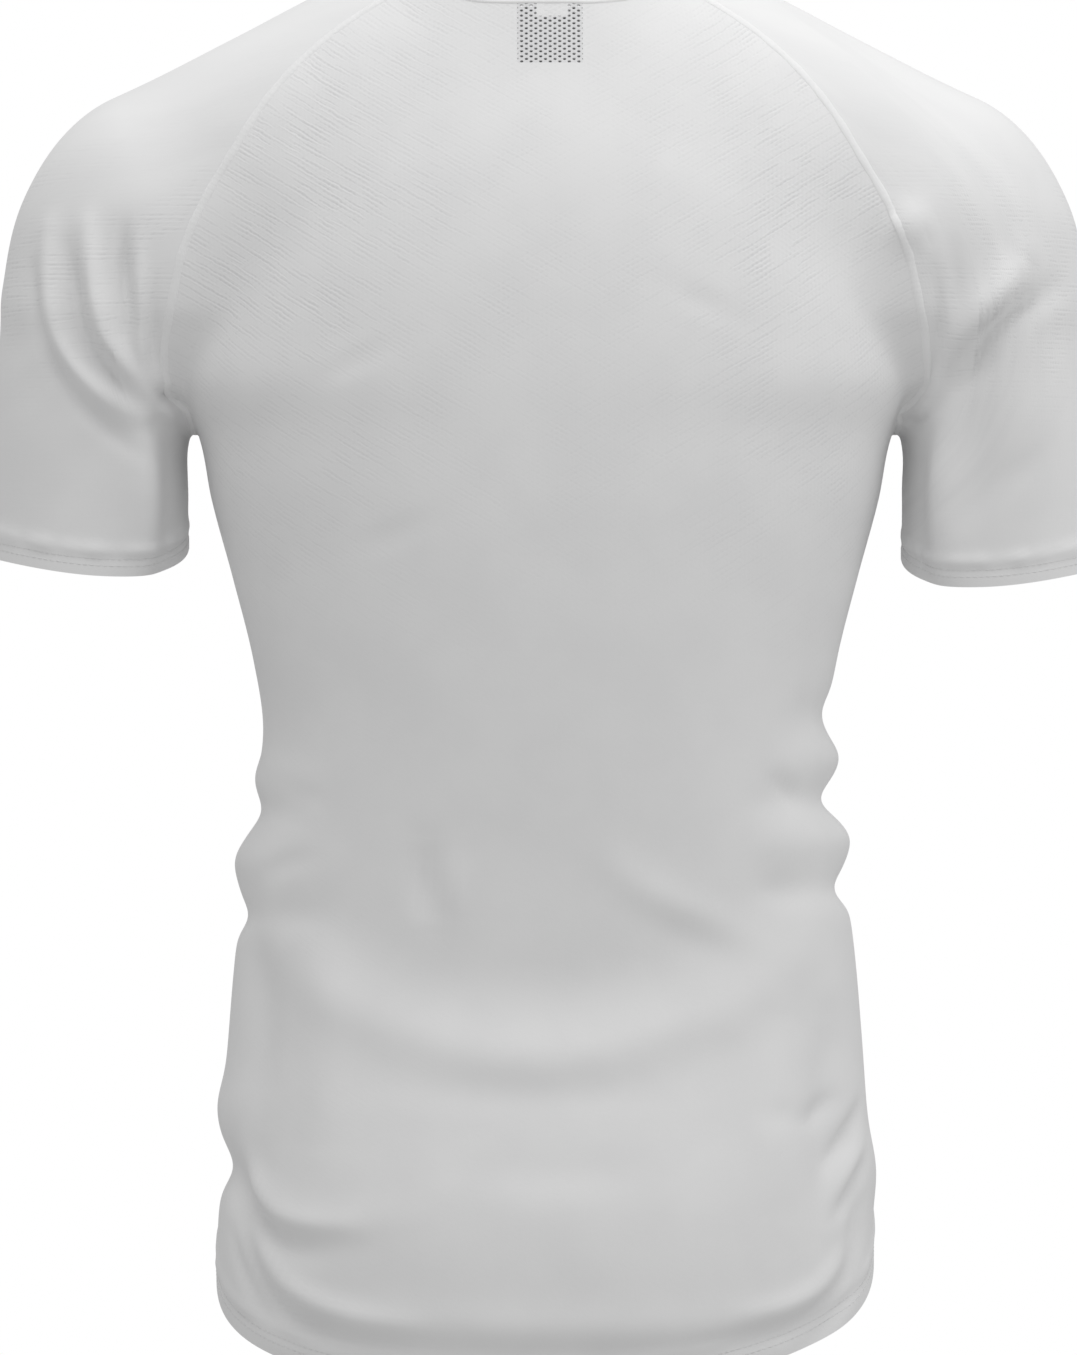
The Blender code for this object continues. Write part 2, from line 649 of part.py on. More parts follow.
def main():
    for leftover in list(bpy.data.objects):
        bpy.data.objects.remove(leftover)
    back_seam = raglan_curve(1, BACK_RAGLAN, BACK_RAGLAN_TOP)
    front_seam = raglan_curve(-1, FRONT_RAGLAN, FRONT_RAGLAN_TOP)
    left_side = side_curve(SIDE_HEM["left"])
    right_side = mirrored(side_curve(SIDE_HEM["right"]))
    panel_shares = crowded_shares(PANEL_COLUMNS)
    back_neck = neck_curve(BACK_RAGLAN_TOP, -BACK_RAGLAN_TOP, panel_shares)
    front_neck = neck_curve(FRONT_RAGLAN_TOP, 360 - FRONT_RAGLAN_TOP, panel_shares)
    side_neck = neck_curve(BACK_RAGLAN_TOP, FRONT_RAGLAN_TOP, even_shares(NECK_COLUMNS))

    panels = (
        ("back_panel", back_seam, back_neck,
         hem_curve(SIDE_SEAM_ANGLE, -SIDE_SEAM_ANGLE, BACK_HEM_DROP, BACK_HEM_ROUNDNESS)),
        ("front_panel", front_seam, front_neck,
         hem_curve(SIDE_SEAM_ANGLE, 360 - SIDE_SEAM_ANGLE, FRONT_HEM_DROP, FRONT_HEM_ROUNDNESS)),
    )
    for name, seam, neck, hem in panels:
        left = np.concatenate((left_side, seam[1:]))
        right = np.concatenate((right_side, mirrored(seam)[1:]))
        grid = panel_grid(left, right, hem, neck)
        sewn_panel(name, grid, "body", cloth_finish(f"{name}_mesh", MESH_WHITE, 0.8))

    for side in ("left", "right"):
        grid = sleeve_grid(back_seam, front_seam, side_neck, CUFF_HEIGHT[side])
        if side == "right":
            grid = mirrored(grid)[:, ::-1]
        finish = cloth_finish(f"sleeve_{side}_mesh", MESH_WHITE, 0.8)
        sewn_panel(f"sleeve_{side}", grid, "sleeve", finish, ring=True)

    collar_loop = np.concatenate((back_neck[:-1], mirrored(side_neck)[:-1],
                                  front_neck[::-1][:-1], side_neck[::-1][:-1]))
    collar_band(collar_loop, cloth_finish("collar_rib", COLLAR_WHITE, 0.85))
    neck_label(cloth_finish("label_tape", LABEL_GREY, 0.7))


main()
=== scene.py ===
# %% [markdown]
# # A short-sleeved mesh base layer
#
# The garment is a close-fitting raglan top in fine white eyelet mesh, and it is shown in the
# form that it keeps when it is worn.  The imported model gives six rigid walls.  This lesson
# dresses them: each wall is replaced by a thin shell on the same form, with the knit, the
# small creases, the flat seams and the stitched hems that the real cloth has.
#
# X points to the garment's left, Y out of its back and Z up.  Lengths are in millimetres until
# a mesh is made, and in metres from there on.

# %% The fixed frame
import math
from collections import namedtuple

import bpy
import numpy as np
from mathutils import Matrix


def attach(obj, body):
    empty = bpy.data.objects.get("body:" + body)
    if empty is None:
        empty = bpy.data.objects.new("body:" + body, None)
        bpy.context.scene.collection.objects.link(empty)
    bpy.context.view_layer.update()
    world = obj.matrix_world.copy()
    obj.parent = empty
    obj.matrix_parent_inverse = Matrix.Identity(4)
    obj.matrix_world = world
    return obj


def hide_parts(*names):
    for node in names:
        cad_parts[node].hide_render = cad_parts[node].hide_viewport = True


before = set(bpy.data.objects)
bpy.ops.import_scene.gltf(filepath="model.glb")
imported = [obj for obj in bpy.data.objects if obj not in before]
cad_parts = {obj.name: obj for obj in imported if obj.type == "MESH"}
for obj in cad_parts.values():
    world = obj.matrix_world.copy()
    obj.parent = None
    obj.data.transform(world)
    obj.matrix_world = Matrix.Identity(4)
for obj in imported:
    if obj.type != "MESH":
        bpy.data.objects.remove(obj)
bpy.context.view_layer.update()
MM = 0.001
print("nodes:", ", ".join(sorted(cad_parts)))

# %% [markdown]
# ## The form of the worn cloth
#
# Worn cloth is pulled tight, so its form is full and smooth, and easiest to give as a distance:
# how far a place is from the outer face.  The form could be sculpted, but then no number of it
# could be changed alone.  The trunk, a sleeve, the shoulder slope and the neck are each one simple
# distance, and a soft union bridges them the way stretched cloth does.  The model's walls were
# made in this way, so the same tables give shells that fit.


# %% Sections of the form
def table(kind, *rows):
    return [kind(*row) for row in rows]


Section = namedtuple("Section", "height half_width back front squareness")
BODY = table(
    Section,
    (-678, 150, 99, 101, 2.4), (-650, 153, 108, 103, 2.4), (-620, 154, 109, 103, 2.4),
    (-590, 153, 106, 103, 2.4), (-548, 151, 94, 102, 2.4), (-510, 148.5, 83, 101, 2.4),
    (-470, 145, 79, 100, 2.4), (-430, 139.5, 81, 100, 2.35), (-400, 135, 85, 100, 2.3),
    (-365, 132.5, 90, 101, 2.3), (-336, 137, 94, 104, 2.3), (-298, 146.5, 99, 109, 2.3),
    (-261, 156.5, 103, 113, 2.3), (-230, 163, 105, 114, 2.3), (-208, 173, 106, 113, 2.3),
    (-186, 171, 106, 110, 2.3), (-150, 164, 104, 101, 2.25), (-105, 154, 96, 84, 2.1),
    (-70, 128, 84, 62, 2.0), (-40, 88, 68, 40, 2.0), (-15, 50, 48, 20, 2.0),
)
ArmSection = namedtuple("ArmSection", "height centre_x centre_y radius_x radius_y")
ARM = table(
    ArmSection,
    (-330, 221, -22, 52, 57), (-290, 219, -17, 50.5, 56), (-260, 217.5, -13, 49, 55),
    (-228, 214.5, -9, 48, 55), (-200, 203.5, -6, 55.3, 57), (-186, 197, -4, 59.5, 58.5),
    (-172, 193.4, -2, 62.5, 60),
)
print("level sections:", len(BODY), "of the body and", len(ARM), "of the arm")


# %% Smooth tables
def eased(start, end, lean_out, lean_in, t):
    """From start to end as t goes from 0 to 1, leaving and arriving with the given leans."""
    blend = t * t * (3 - 2 * t)
    bend = (t - 1) ** 2 * t * lean_out + (t - 1) * t * t * lean_in
    return start * (1 - blend) + end * blend + bend


def smooth_reader(rows, key, column, level_top=False):
    """A function that reads one column of a table at any key, as a smooth curve."""
    rows = sorted(rows, key=lambda row: getattr(row, key))
    keys = np.array([getattr(row, key) for row in rows], float)
    values = np.array([getattr(row, column) for row in rows], float)
    slopes = np.gradient(values, keys)
    if level_top:
        slopes[-1] = 0.0

    def read(at):
        at = np.clip(at, keys[0], keys[-1])
        i = np.clip(np.searchsorted(keys, at) - 1, 0, len(keys) - 2)
        span = keys[i + 1] - keys[i]
        t = (at - keys[i]) / span
        return eased(values[i], values[i + 1], span * slopes[i], span * slopes[i + 1], t)

    return read


def smooth_step(low, high, value):
    t = np.clip((value - low) / (high - low), 0, 1)
    return t * t * (3 - 2 * t)


body_width, body_back, body_front, body_square = (
    smooth_reader(BODY, "height", column)
    for column in ("half_width", "back", "front", "squareness"))
arm_x, arm_y, arm_rx, arm_ry = (
    smooth_reader(ARM, "height", column, level_top=True)
    for column in ("centre_x", "centre_y", "radius_x", "radius_y"))
WAIST = -365.0
print("half width of the waist, mm:", round(float(body_width(WAIST)), 1))

# %% Distances from the parts of the form
UP = np.array((0.0, 0.0, 1.0))
SECTION_STEP = 2.0
SHOULDER_JOINT = -172.0
RIDGE_START = (14.0, 4.0, -42.0)
RIDGE_END = (178.5, 2.0, -122.0)
RIDGE_RADIUS = 54.8
NECK_HALF_WIDTH, NECK_BACK_DEPTH, NECK_FRONT_DEPTH = 68.0, 60.0, 48.0


def body_reach(points):
    """How far the body's level section reaches in each point's direction."""
    x, y, z = points[..., 0], points[..., 1], points[..., 2]
    away = np.maximum(np.hypot(x, y), 1e-6)
    depth = np.where(y > 0, body_back(z), body_front(z))
    power = body_square(z)
    across = (np.abs(x) / away / body_width(z)) ** power
    along = (np.abs(y) / away / depth) ** power
    return np.maximum(across + along, 1e-9) ** (-1 / power)


def body_gap(points):
    step = UP * SECTION_STEP
    slope = (body_reach(points + step) - body_reach(points - step)) / (2 * SECTION_STEP)
    away = np.hypot(points[..., 0], points[..., 1])
    return (away - body_reach(points)) / np.sqrt(1 + slope ** 2)


def arm_gap(points):
    z = np.minimum(points[..., 2], SHOULDER_JOINT)
    across = (np.abs(points[..., 0]) - arm_x(z)) / arm_rx(z)
    along = (points[..., 1] - arm_y(z)) / arm_ry(z)
    up = (points[..., 2] - z) / arm_rx(z)
    return (np.sqrt(across ** 2 + along ** 2 + up ** 2) - 1) * arm_rx(z)


def ridge_gap(points):
    folded = np.concatenate((np.abs(points[..., :1]), points[..., 1:]), axis=-1)
    start = np.array(RIDGE_START)
    along = np.array(RIDGE_END) - start
    t = np.clip((folded - start) @ along / (along @ along), 0, 1)
    return np.linalg.norm(folded - start - t[..., None] * along, axis=-1) - RIDGE_RADIUS


def neck_gap(points):
    x, y = points[..., 0], points[..., 1]
    depth = np.where(y > 0, NECK_BACK_DEPTH, NECK_FRONT_DEPTH)
    return (np.hypot(x / NECK_HALF_WIDTH, y / depth) - 1) * depth


# %% One distance for the cloth
UNDERARM = (164.6, -12.0, -229.3)
PARTING_SLOPE, PARTING_ONSET = 1.6, 3.0
UNDERARM_ROUNDING, SHOULDER_ROUNDING = 8.0, 45.0
SHOULDER_BLADE = (-222.0, -120.0)      # the heights between which the rounding grows
RIDGE_ROUNDING, NECK_ROUNDING = 40.0, 26.0


def soft_union(a, b, reach):
    share = np.clip(0.5 + 0.5 * (b - a) / reach, 0, 1)
    return b + (a - b) * share - reach * share * (1 - share)


def cloth_gap(points, part):
    """Distance from the cloth's outer face.  Under the arm, sleeve and body are apart."""
    height = points[..., 2]
    below = np.maximum(UNDERARM[2] - height, 0)
    apart = PARTING_SLOPE * below ** 2 / (below + PARTING_ONSET)
    sleeve, body = arm_gap(points), body_gap(points)
    if part == "sleeve":
        body = body + apart
    else:
        sleeve = sleeve + apart
    gap = soft_union(body, ridge_gap(points), RIDGE_ROUNDING)
    softer = smooth_step(*SHOULDER_BLADE, height)
    rounding = UNDERARM_ROUNDING * (1 - softer) + SHOULDER_ROUNDING * softer
    gap = soft_union(gap, sleeve, rounding)
    return soft_union(gap, neck_gap(points), NECK_ROUNDING)


# %% Moving points onto the form
SLOPE_STEP = 0.5


def slope_of(measure, points):
    slopes = []
    for axis in range(3):
        step = np.zeros(3)
        step[axis] = SLOPE_STEP
        slopes.append(measure(points + step) - measure(points - step))
    return np.stack(slopes, axis=-1)


def unit(vectors):
    return vectors / np.maximum(np.linalg.norm(vectors, axis=-1, keepdims=True), 1e-9)


def outward(points, part):
    return unit(slope_of(lambda places: cloth_gap(places, part), points))


def settle(points, part, rounds=12, longest=12.0):
    """Move points along the slope until they lie on the cloth's outer face."""
    for _ in range(rounds):
        slope = slope_of(lambda places: cloth_gap(places, part), points)
        steepness = np.maximum(np.linalg.norm(slope, axis=-1), 1e-3)
        move = np.clip(-cloth_gap(points, part) / steepness, -longest, longest)
        points = points + slope * (move / steepness)[..., None]
    return points


def first_crossing(ray, part, leaving):
    gap = cloth_gap(ray, part)
    past = gap > 0 if leaving else gap < 0
    i = int(np.argmax(past))
    share = gap[i - 1] / (gap[i - 1] - gap[i])
    return ray[i - 1] + (ray[i] - ray[i - 1]) * share


# %% Places on the form
ROUND_RAY = (20, 240, 221)             # each ray: its start, its end and its number of places
DEPTH_RAY = (160, -160, 321)


def round_body(angle, height, part="body"):
    """The outer face at an angle round the body; 0 degrees is the back, 90 the left side."""
    turn = math.radians(angle)
    reach = np.linspace(*ROUND_RAY)
    ray = np.stack((reach * math.sin(turn), reach * math.cos(turn), reach * 0 + height), axis=1)
    return first_crossing(ray, part, leaving=True)


def seen_from(side, across, height, part="body"):
    """The outer face at a place as seen from behind (side 1) or from in front (side -1)."""
    depth = np.linspace(*DEPTH_RAY) * side
    ray = np.stack((depth * 0 + across, depth, depth * 0 + height), axis=1)
    return first_crossing(ray, part, leaving=False)


UNDERARM_POINT = settle(np.array([UNDERARM]), "body")[0]
print("underarm point, mm:", np.round(UNDERARM_POINT, 1))

# %% [markdown]
# ## Seam lines
#
# A cutter thinks in seam lines: where the raglan seams run, how high the neck seam sits, how the
# hem dips.  They could be cut out of one finished surface, but cuts leave ragged edges.  Here
# each is a smooth curve through a few places on the form, read at even or crowded shares of its
# length, so that neighbouring pieces share exactly the same points.

# %% Places on the seams
NeckPlace = namedtuple("NeckPlace", "angle height")
NECK_SEAM = table(
    NeckPlace,
    (0, -33), (25, -32), (45, -25), (60, -16), (75, -6), (90, -1), (105, -7), (120, -24), (140, -57),
    (160, -82), (180, -90),
)
SeamPlace = namedtuple("SeamPlace", "across height")
BACK_RAGLAN = table(
    SeamPlace,
    (78, -32), (96, -44), (109.5, -55.5), (121, -67.5), (131, -80), (142, -98), (150.5, -111.5),
    (157.5, -124.5), (163.5, -137), (168.5, -151), (172.5, -170), (176, -189), (176.5, -205),
    (173, -215), (167.5, -220.5),
)
FRONT_RAGLAN = table(
    SeamPlace,
    (82, -56), (104, -84), (126, -112), (144, -142), (158, -172), (168, -198), (171, -213), (166, -223),
)
BACK_RAGLAN_TOP, FRONT_RAGLAN_TOP = 50.0, 122.0
SIDE_SEAM_ANGLE = 96.0
SIDE_HEM = {"left": -612.0, "right": -602.0}
neck_seam_height = smooth_reader(NECK_SEAM, "angle", "height")
print("neck seam, mm: back", neck_seam_height(0.0), "front", neck_seam_height(180.0))

# %% Smooth curves
SIDE_CROWDING = 0.5                    # 0 is even; above it, points crowd towards both ends
CURVE_PLACES = 12                      # places that a curve is worked out at, for each given one


def even_shares(spaces):
    return np.linspace(0, 1, spaces + 1)


def crowded_shares(spaces):
    shares = even_shares(spaces)
    return shares - SIDE_CROWDING * np.sin(2 * math.pi * shares) / (2 * math.pi)


def smooth_curve(points, shares):
    """A smooth curve through points, read at shares of its length."""
    points = np.asarray(points, float)
    travel = np.concatenate(([0], np.cumsum(np.linalg.norm(np.diff(points, axis=0), axis=1))))
    slopes = np.gradient(points, travel, axis=0)
    fine = np.linspace(0, travel[-1], CURVE_PLACES * len(points))
    i = np.clip(np.searchsorted(travel, fine) - 1, 0, len(travel) - 2)
    span = (travel[i + 1] - travel[i])[:, None]
    t = (fine - travel[i])[:, None] / span
    curve = eased(points[i], points[i + 1], span * slopes[i], span * slopes[i + 1], t)
    steps = np.linalg.norm(np.diff(curve, axis=0), axis=1)
    travel = np.concatenate(([0], np.cumsum(steps)))
    places = travel[-1] * shares
    return np.stack([np.interp(places, travel, curve[:, axis]) for axis in range(3)], axis=1)


def mirrored(points):
    return points * np.array((-1, 1, 1))


# %% Curves on the form
PANEL_COLUMNS, NECK_COLUMNS = 20, 8
SIDE_ROWS, RAGLAN_ROWS = 38, 18
SIDE_ROW_CROWDING, RAGLAN_CROWDING = 1.12, 1.25
NECK_PLACES, SIDE_PLACES, HEM_PLACES = 21, 24, 41
BELOW_UNDERARM = 12


def neck_curve(start, end, shares):
    places = []
    for angle in np.linspace(start, end, NECK_PLACES):
        fold = abs((angle + 180) % 360 - 180)
        places.append(round_body(angle, float(neck_seam_height(fold))))
    return smooth_curve(places, shares)


def raglan_curve(side, places, top_angle):
    """A left raglan seam, from the underarm up to the neck seam."""
    climb = [seen_from(side, place.across, place.height) for place in reversed(places)]
    top = round_body(top_angle, float(neck_seam_height(top_angle)))
    shares = even_shares(RAGLAN_ROWS) ** RAGLAN_CROWDING
    curve = smooth_curve([UNDERARM_POINT] + climb + [top], shares)
    curve[1:] = settle(curve[1:], "body")
    return curve


def side_curve(hem_height):
    heights = np.linspace(hem_height, UNDERARM[2] - BELOW_UNDERARM, SIDE_PLACES)
    climb = [round_body(SIDE_SEAM_ANGLE, height) for height in heights]
    shares = 1 - even_shares(SIDE_ROWS)[::-1] ** SIDE_ROW_CROWDING
    return smooth_curve(climb + [UNDERARM_POINT], shares)


def hem_curve(start, end, drop, roundness):
    """A panel's hem from the left side seam to the right one, lowest at its middle."""
    places = []
    for share in np.linspace(-1, 1, HEM_PLACES):
        angle = (start + end) / 2 + share * (end - start) / 2
        level = SIDE_HEM["left"] + (SIDE_HEM["right"] - SIDE_HEM["left"]) * (share + 1) / 2
        places.append(round_body(angle, level - drop * (1 - abs(share) ** roundness)))
    return smooth_curve(places, crowded_shares(PANEL_COLUMNS))


# %% The shared lines
panel_shares = crowded_shares(PANEL_COLUMNS)
back_seam = raglan_curve(1, BACK_RAGLAN, BACK_RAGLAN_TOP)
front_seam = raglan_curve(-1, FRONT_RAGLAN, FRONT_RAGLAN_TOP)
left_side = side_curve(SIDE_HEM["left"])
right_side = mirrored(side_curve(SIDE_HEM["right"]))
back_neck = neck_curve(BACK_RAGLAN_TOP, -BACK_RAGLAN_TOP, panel_shares)
front_neck = neck_curve(FRONT_RAGLAN_TOP, 360 - FRONT_RAGLAN_TOP, panel_shares)
side_neck = neck_curve(BACK_RAGLAN_TOP, FRONT_RAGLAN_TOP, even_shares(NECK_COLUMNS))
print("back raglan seam, mm:", round(np.linalg.norm(np.diff(back_seam, axis=0), axis=1).sum()))

# %% [markdown]
# ## Folds and creases
#
# Tight cloth wrinkles where it is pushed together: across the small of the back, round the
# sides of the waist and where a sleeve bends under the arm.  A cloth simulation would choose its
# own places for them.  These have known places, so each is given as a soft ridge along a
# short path, or a trough where its rise is below 0.  The larger ones are in the imported walls too;
# the sharper creases after them are added here only.

# %% Folds round the sides
Fold = namedtuple("Fold", "rise half_width path")
Place = namedtuple("Place", "view across height")


def folds_on(view, *rows):
    """Folds that are seen from one side: each row has a rise, a half width and its places."""
    return [Fold(rise, half_width, [Place(view, *place) for place in places])
            for rise, half_width, *places in rows]


def side_tucks(view, *rows):
    """Folds that run level round one side, from a place towards the back to one in front."""
    return folds_on(view, *[(rise, half_width, (back, height), ((back + FRONT_END) / 2, height),
                             (FRONT_END, height)) for rise, half_width, height, back in rows])


FRONT_END = -60
SIDE_TUCKS = side_tucks(
    "left",
    (2.5, 10, -390, 50), (-3, 8, -407, 50), (6, 13, -431, 60), (-4, 8, -456, 60),
    (3, 14, -545, 60), (-6, 11, -573, 60),
)
SIDE_TUCKS += side_tucks(
    "right",
    (-3, 9, -361, 50), (5, 10, -382, 50), (-6, 8, -401, 60), (5, 10, -421, 60),
    (-6, 8, -443, 60), (3, 18, -575, 60),
)
print("side tucks:", len(SIDE_TUCKS))

# %% Folds of the panels and the sleeves
BACK_FOLDS = folds_on(
    "back",
    (3.5, 14, (128, -460), (98, -493), (53, -512), (-2, -520), (-62, -506), (-107, -484), (-126, -456)),
    (-2.5, 18, (112, -452), (53, -480), (-2, -487), (-62, -472), (-112, -444)),
    (2, 9, (-25, -423), (-44, -441), (-71, -455), (-98, -467)),
    (-1.2, 9, (-44, -451), (-66, -462), (-89, -471)),
    (-1.2, 10, (66, -532), (12, -535), (-43, -533)),
    (-1.2, 10, (39, -569), (-2, -571), (-43, -569)),
    (2, 9, (143, -566), (133, -580), (113, -591), (66, -592)),
    (-1, 8, (139, -584), (124, -598), (103, -604), (84, -605)),
    (1.4, 9, (132, -605), (121, -624), (97, -635), (53, -639.5), (-2, -641.5), (-71, -640.5),
     (-112, -633), (-134, -612)),
    (-1.4, 8, (126, -632), (98, -646), (53, -651.5), (-2, -653.5), (-71, -652), (-116, -644),
     (-136, -625)),
    (-2.5, 8, (-146, -552), (-138, -564), (-130, -575)),
    (-3, 8, (-147, -580), (-142, -600), (-128, -622)),
    (4.5, 11, (-160, -129), (-168, -136), (-176, -142)),
)
FRONT_FOLDS = folds_on(
    "front",
    (2.5, 13, (118, -452), (70, -476), (4, -484), (-66, -474), (-116, -446)),
    (-2, 12, (110, -430), (60, -448), (-8, -453), (-70, -447), (-108, -424)),
    (2, 12, (-120, -560), (-84, -574), (-30, -579)),
    (2, 11, (150, -236), (128, -214), (104, -198)),
    (2, 11, (-152, -240), (-126, -216), (-106, -202)),
)
SLEEVE_FOLDS = folds_on(
    "back",
    (7.5, 7.2, (230, -138), (229, -158), (227, -175), (224, -187), (219, -198), (212, -208),
     (203, -216), (190, -221)),
    (8, 6, (211.5, -136), (209.5, -154), (207, -172), (204, -185), (199, -195), (192, -204),
     (184, -212)),
    (-3.5, 5, (222, -145), (218, -165), (216, -180), (210, -194), (202, -203), (193, -212)),
    (-3.2, 5, (238, -155), (236, -172), (232, -187), (227, -199), (219.5, -210), (210, -221),
     (202.6, -229), (192, -239)),
    (8, 10, (-221, -150), (-211, -165), (-201, -178), (-189, -192)),
    (-5.5, 6.5, (-236, -164), (-226, -172), (-215.1, -178.5), (-207.7, -186), (-200.3, -198),
     (-192.4, -208), (-183, -218)),
    (-1.5, 9, (-233, -240), (-210, -253), (-189, -272)),
)
SLEEVE_FOLDS += folds_on(
    "front",
    (3, 9, (222, -168), (208, -196), (190, -214)),
    (-3, 8, (226, -190), (210, -212), (192, -228)),
    (3, 9, (-224, -164), (-206, -192), (-188, -212)),
    (-3, 8, (-224, -186), (-208, -210), (-190, -226)),
)
print("larger folds:", len(BACK_FOLDS + FRONT_FOLDS + SLEEVE_FOLDS))

# %% Creases of the cloth alone
BACK_CREASES = folds_on(
    "back",
    (-3, 7, (55, -420), (54.5, -438), (52, -458)),
    (1.5, 7, (43, -422), (43, -440), (41, -456)),
    (-2.8, 6, (137, -382), (128, -388), (118, -393.5), (107, -400)),
    (-2, 6, (130, -437), (117, -430), (106, -427)),
    (-1.6, 5, (-119, -401), (-110, -394), (-103, -389)),
    (-1, 18, (90, -194), (84, -206)),
    (-1, 18, (-76, -167), (-70, -180)),
    (-1, 18, (73, -272), (66, -286)),
    (3.5, 14, (110, -450), (103, -480), (101, -520), (103, -560)),
    (-4, 12, (135, -462), (132, -490), (132, -520), (134, -555)),
    (2.5, 13, (-106, -500), (-105, -540), (-106, -590)),
    (-4.5, 11, (-131, -505), (-130, -545), (-129, -600)),
    (3, 5.5, (139, -564), (134.5, -577), (129, -587), (120, -593.5), (108, -596), (86, -596)),
    (-4.5, 6, (146, -572), (140, -583), (134, -592), (127, -600), (119, -605), (108, -607)),
    (-4, 8, (147, -576), (142, -588), (139, -600)),
    (3, 5.5, (133, -598), (128.5, -610), (122, -620), (113, -627), (103, -632), (89, -636.5),
     (60, -640)),
    (-3.5, 5, (139, -597), (135.5, -611), (131, -622), (124.5, -631.5), (117, -637.5), (107.5, -643),
     (93.7, -648), (66, -652)),
    (-2.5, 4, (146, -600), (142, -614), (136.5, -626), (129, -637.5), (117, -648.5)),
    (-2.5, 5, (-136, -538.5), (-127, -545), (-120, -550)),
    (-1.2, 7, (-122, -547), (-97, -545)),
    (-4, 4.5, (-146.5, -544), (-140.4, -557.5), (-134, -568)),
    (0.8, 4.5, (-148, -556), (-143, -568), (-138, -580)),
    (-4, 4.5, (-148, -568), (-143, -580), (-135.4, -594)),
    (3, 5, (-141, -596), (-137, -610), (-129, -622), (-113, -632), (-92, -636)),
    (-3.5, 5, (-146, -602), (-142, -617), (-134, -630), (-121.5, -639), (-107, -644), (-71, -650)),
    (-2.5, 4, (-145, -624), (-133, -640), (-116, -652)),
)
FRONT_CREASES = folds_on(
    "front",
    (-1.6, 6, (40, -410), (34, -438)),
    (-1.8, 6, (-118, -396), (-104, -388), (-94, -385)),
    (-1.6, 5, (112, -446), (100, -438), (88, -436)),
    (1.4, 7, (70, -546), (22, -553), (-40, -549)),
)
SLEEVE_CREASES = folds_on(
    "back",
    (-4.5, 4, (195, -138), (194.5, -155), (193, -168), (190.5, -183)),
    (4, 4.5, (188.5, -146), (188.5, -165), (188, -185), (186, -198), (180, -208)),
    (-2, 4, (182, -166), (182, -183), (182, -198), (180.5, -207)),
    (-3.5, 3.2, (182.5, -211), (175, -214.5), (167.5, -219.5)),
    (2, 3.2, (181, -218), (172, -223)),
    (-1.2, 5, (196, -226), (180, -225.5)),
    (-2.8, 4, (-181, -160), (-182, -180), (-181.5, -198), (-176, -211)),
    (-3, 3.5, (-178, -207), (-171, -215), (-165.5, -222)),
    (-1.5, 5, (-188, -140), (-189.5, -165), (-190.6, -185)),
    (-2.5, 3.2, (-164, -224.5), (-171, -225), (-179, -223)),
)
SLEEVE_CREASES += folds_on(
    "front",
    (-2, 5, (188, -170), (184, -190), (180, -208)),
    (-2, 5, (-190, -166), (-185, -188), (-180, -206)),
)
SLEEVE_CREASES += folds_on(
    "back",
    (10, 10.5, (189, -216), (189, -245), (188.5, -265), (189, -300)),
    (10, 10.5, (-188.5, -218), (-188.5, -245), (-188, -265), (-188.5, -304)),
)
BODY_FOLDS = SIDE_TUCKS + BACK_FOLDS + FRONT_FOLDS + BACK_CREASES + FRONT_CREASES
ARM_FOLDS = SLEEVE_FOLDS + SLEEVE_CREASES
print("creases:", len(BACK_CREASES + FRONT_CREASES + SLEEVE_CREASES))

# %% Reading the folds
FOLD_STEPS = 14
FOLD_FADE = 0.08                       # how much of a fold's height is left at its ends
FOLD_REACH = 3                         # beyond this many half widths a fold lifts nothing
SIDE_RAY = (200, 60, 281)


def on_view(place, part):
    """The point of the outer face that a place names."""
    if place.view in ("back", "front"):
        return seen_from(1 if place.view == "back" else -1, place.across, place.height, part)
    side = 1 if place.view == "left" else -1
    reach = np.linspace(*SIDE_RAY) * side
    ray = np.stack((reach, reach * 0 + place.across, reach * 0 + place.height), axis=1)
    return first_crossing(ray, part, leaving=False)


fold_lines = []
for folds, part in ((BODY_FOLDS, "body"), (ARM_FOLDS, "sleeve")):
    for fold in folds:
        path = [on_view(place, part) for place in fold.path]
        fold_lines.append((fold, smooth_curve(path, even_shares(FOLD_STEPS))))
print("folds and creases:", len(fold_lines))


def fold_rise(points):
    """How far the folds lift each point off the plain form."""
    flat = points.reshape(-1, 3)
    total = np.zeros(len(flat))
    for fold, line in fold_lines:
        reach = FOLD_REACH * fold.half_width
        inside = np.all((flat > line.min(axis=0) - reach) & (flat < line.max(axis=0) + reach), axis=1)
        close = flat[inside]
        nearest = np.full(len(close), np.inf)
        travel = np.zeros(len(close))
        for i in range(FOLD_STEPS):
            along = line[i + 1] - line[i]
            t = np.clip((close - line[i]) @ along / (along @ along), 0, 1)
            gap = np.linalg.norm(close - line[i] - t[:, None] * along, axis=1)
            travel = np.where(gap < nearest, (i + t) / FOLD_STEPS, travel)
            nearest = np.minimum(gap, nearest)
        fade = np.sin(math.pi * (FOLD_FADE + (1 - 2 * FOLD_FADE) * travel))
        total[inside] += fold.rise * fade * np.exp(-(nearest / fold.half_width) ** 2)
    return total.reshape(points.shape[:-1])


# %% [markdown]
# ## Grids of cloth
#
# Each panel is a grid of points that starts coarse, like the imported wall, and is then made finer
# with smooth curves along its rows and columns.  A Subdivision modifier would round off the
# corners and draw the seams apart.  Here a corner stays a corner, because the curves stop there,
# and every seam line stays shared.

# %% Coarse grids of the panels
EVENING, EVENING_ROUNDS = 0.6, 6


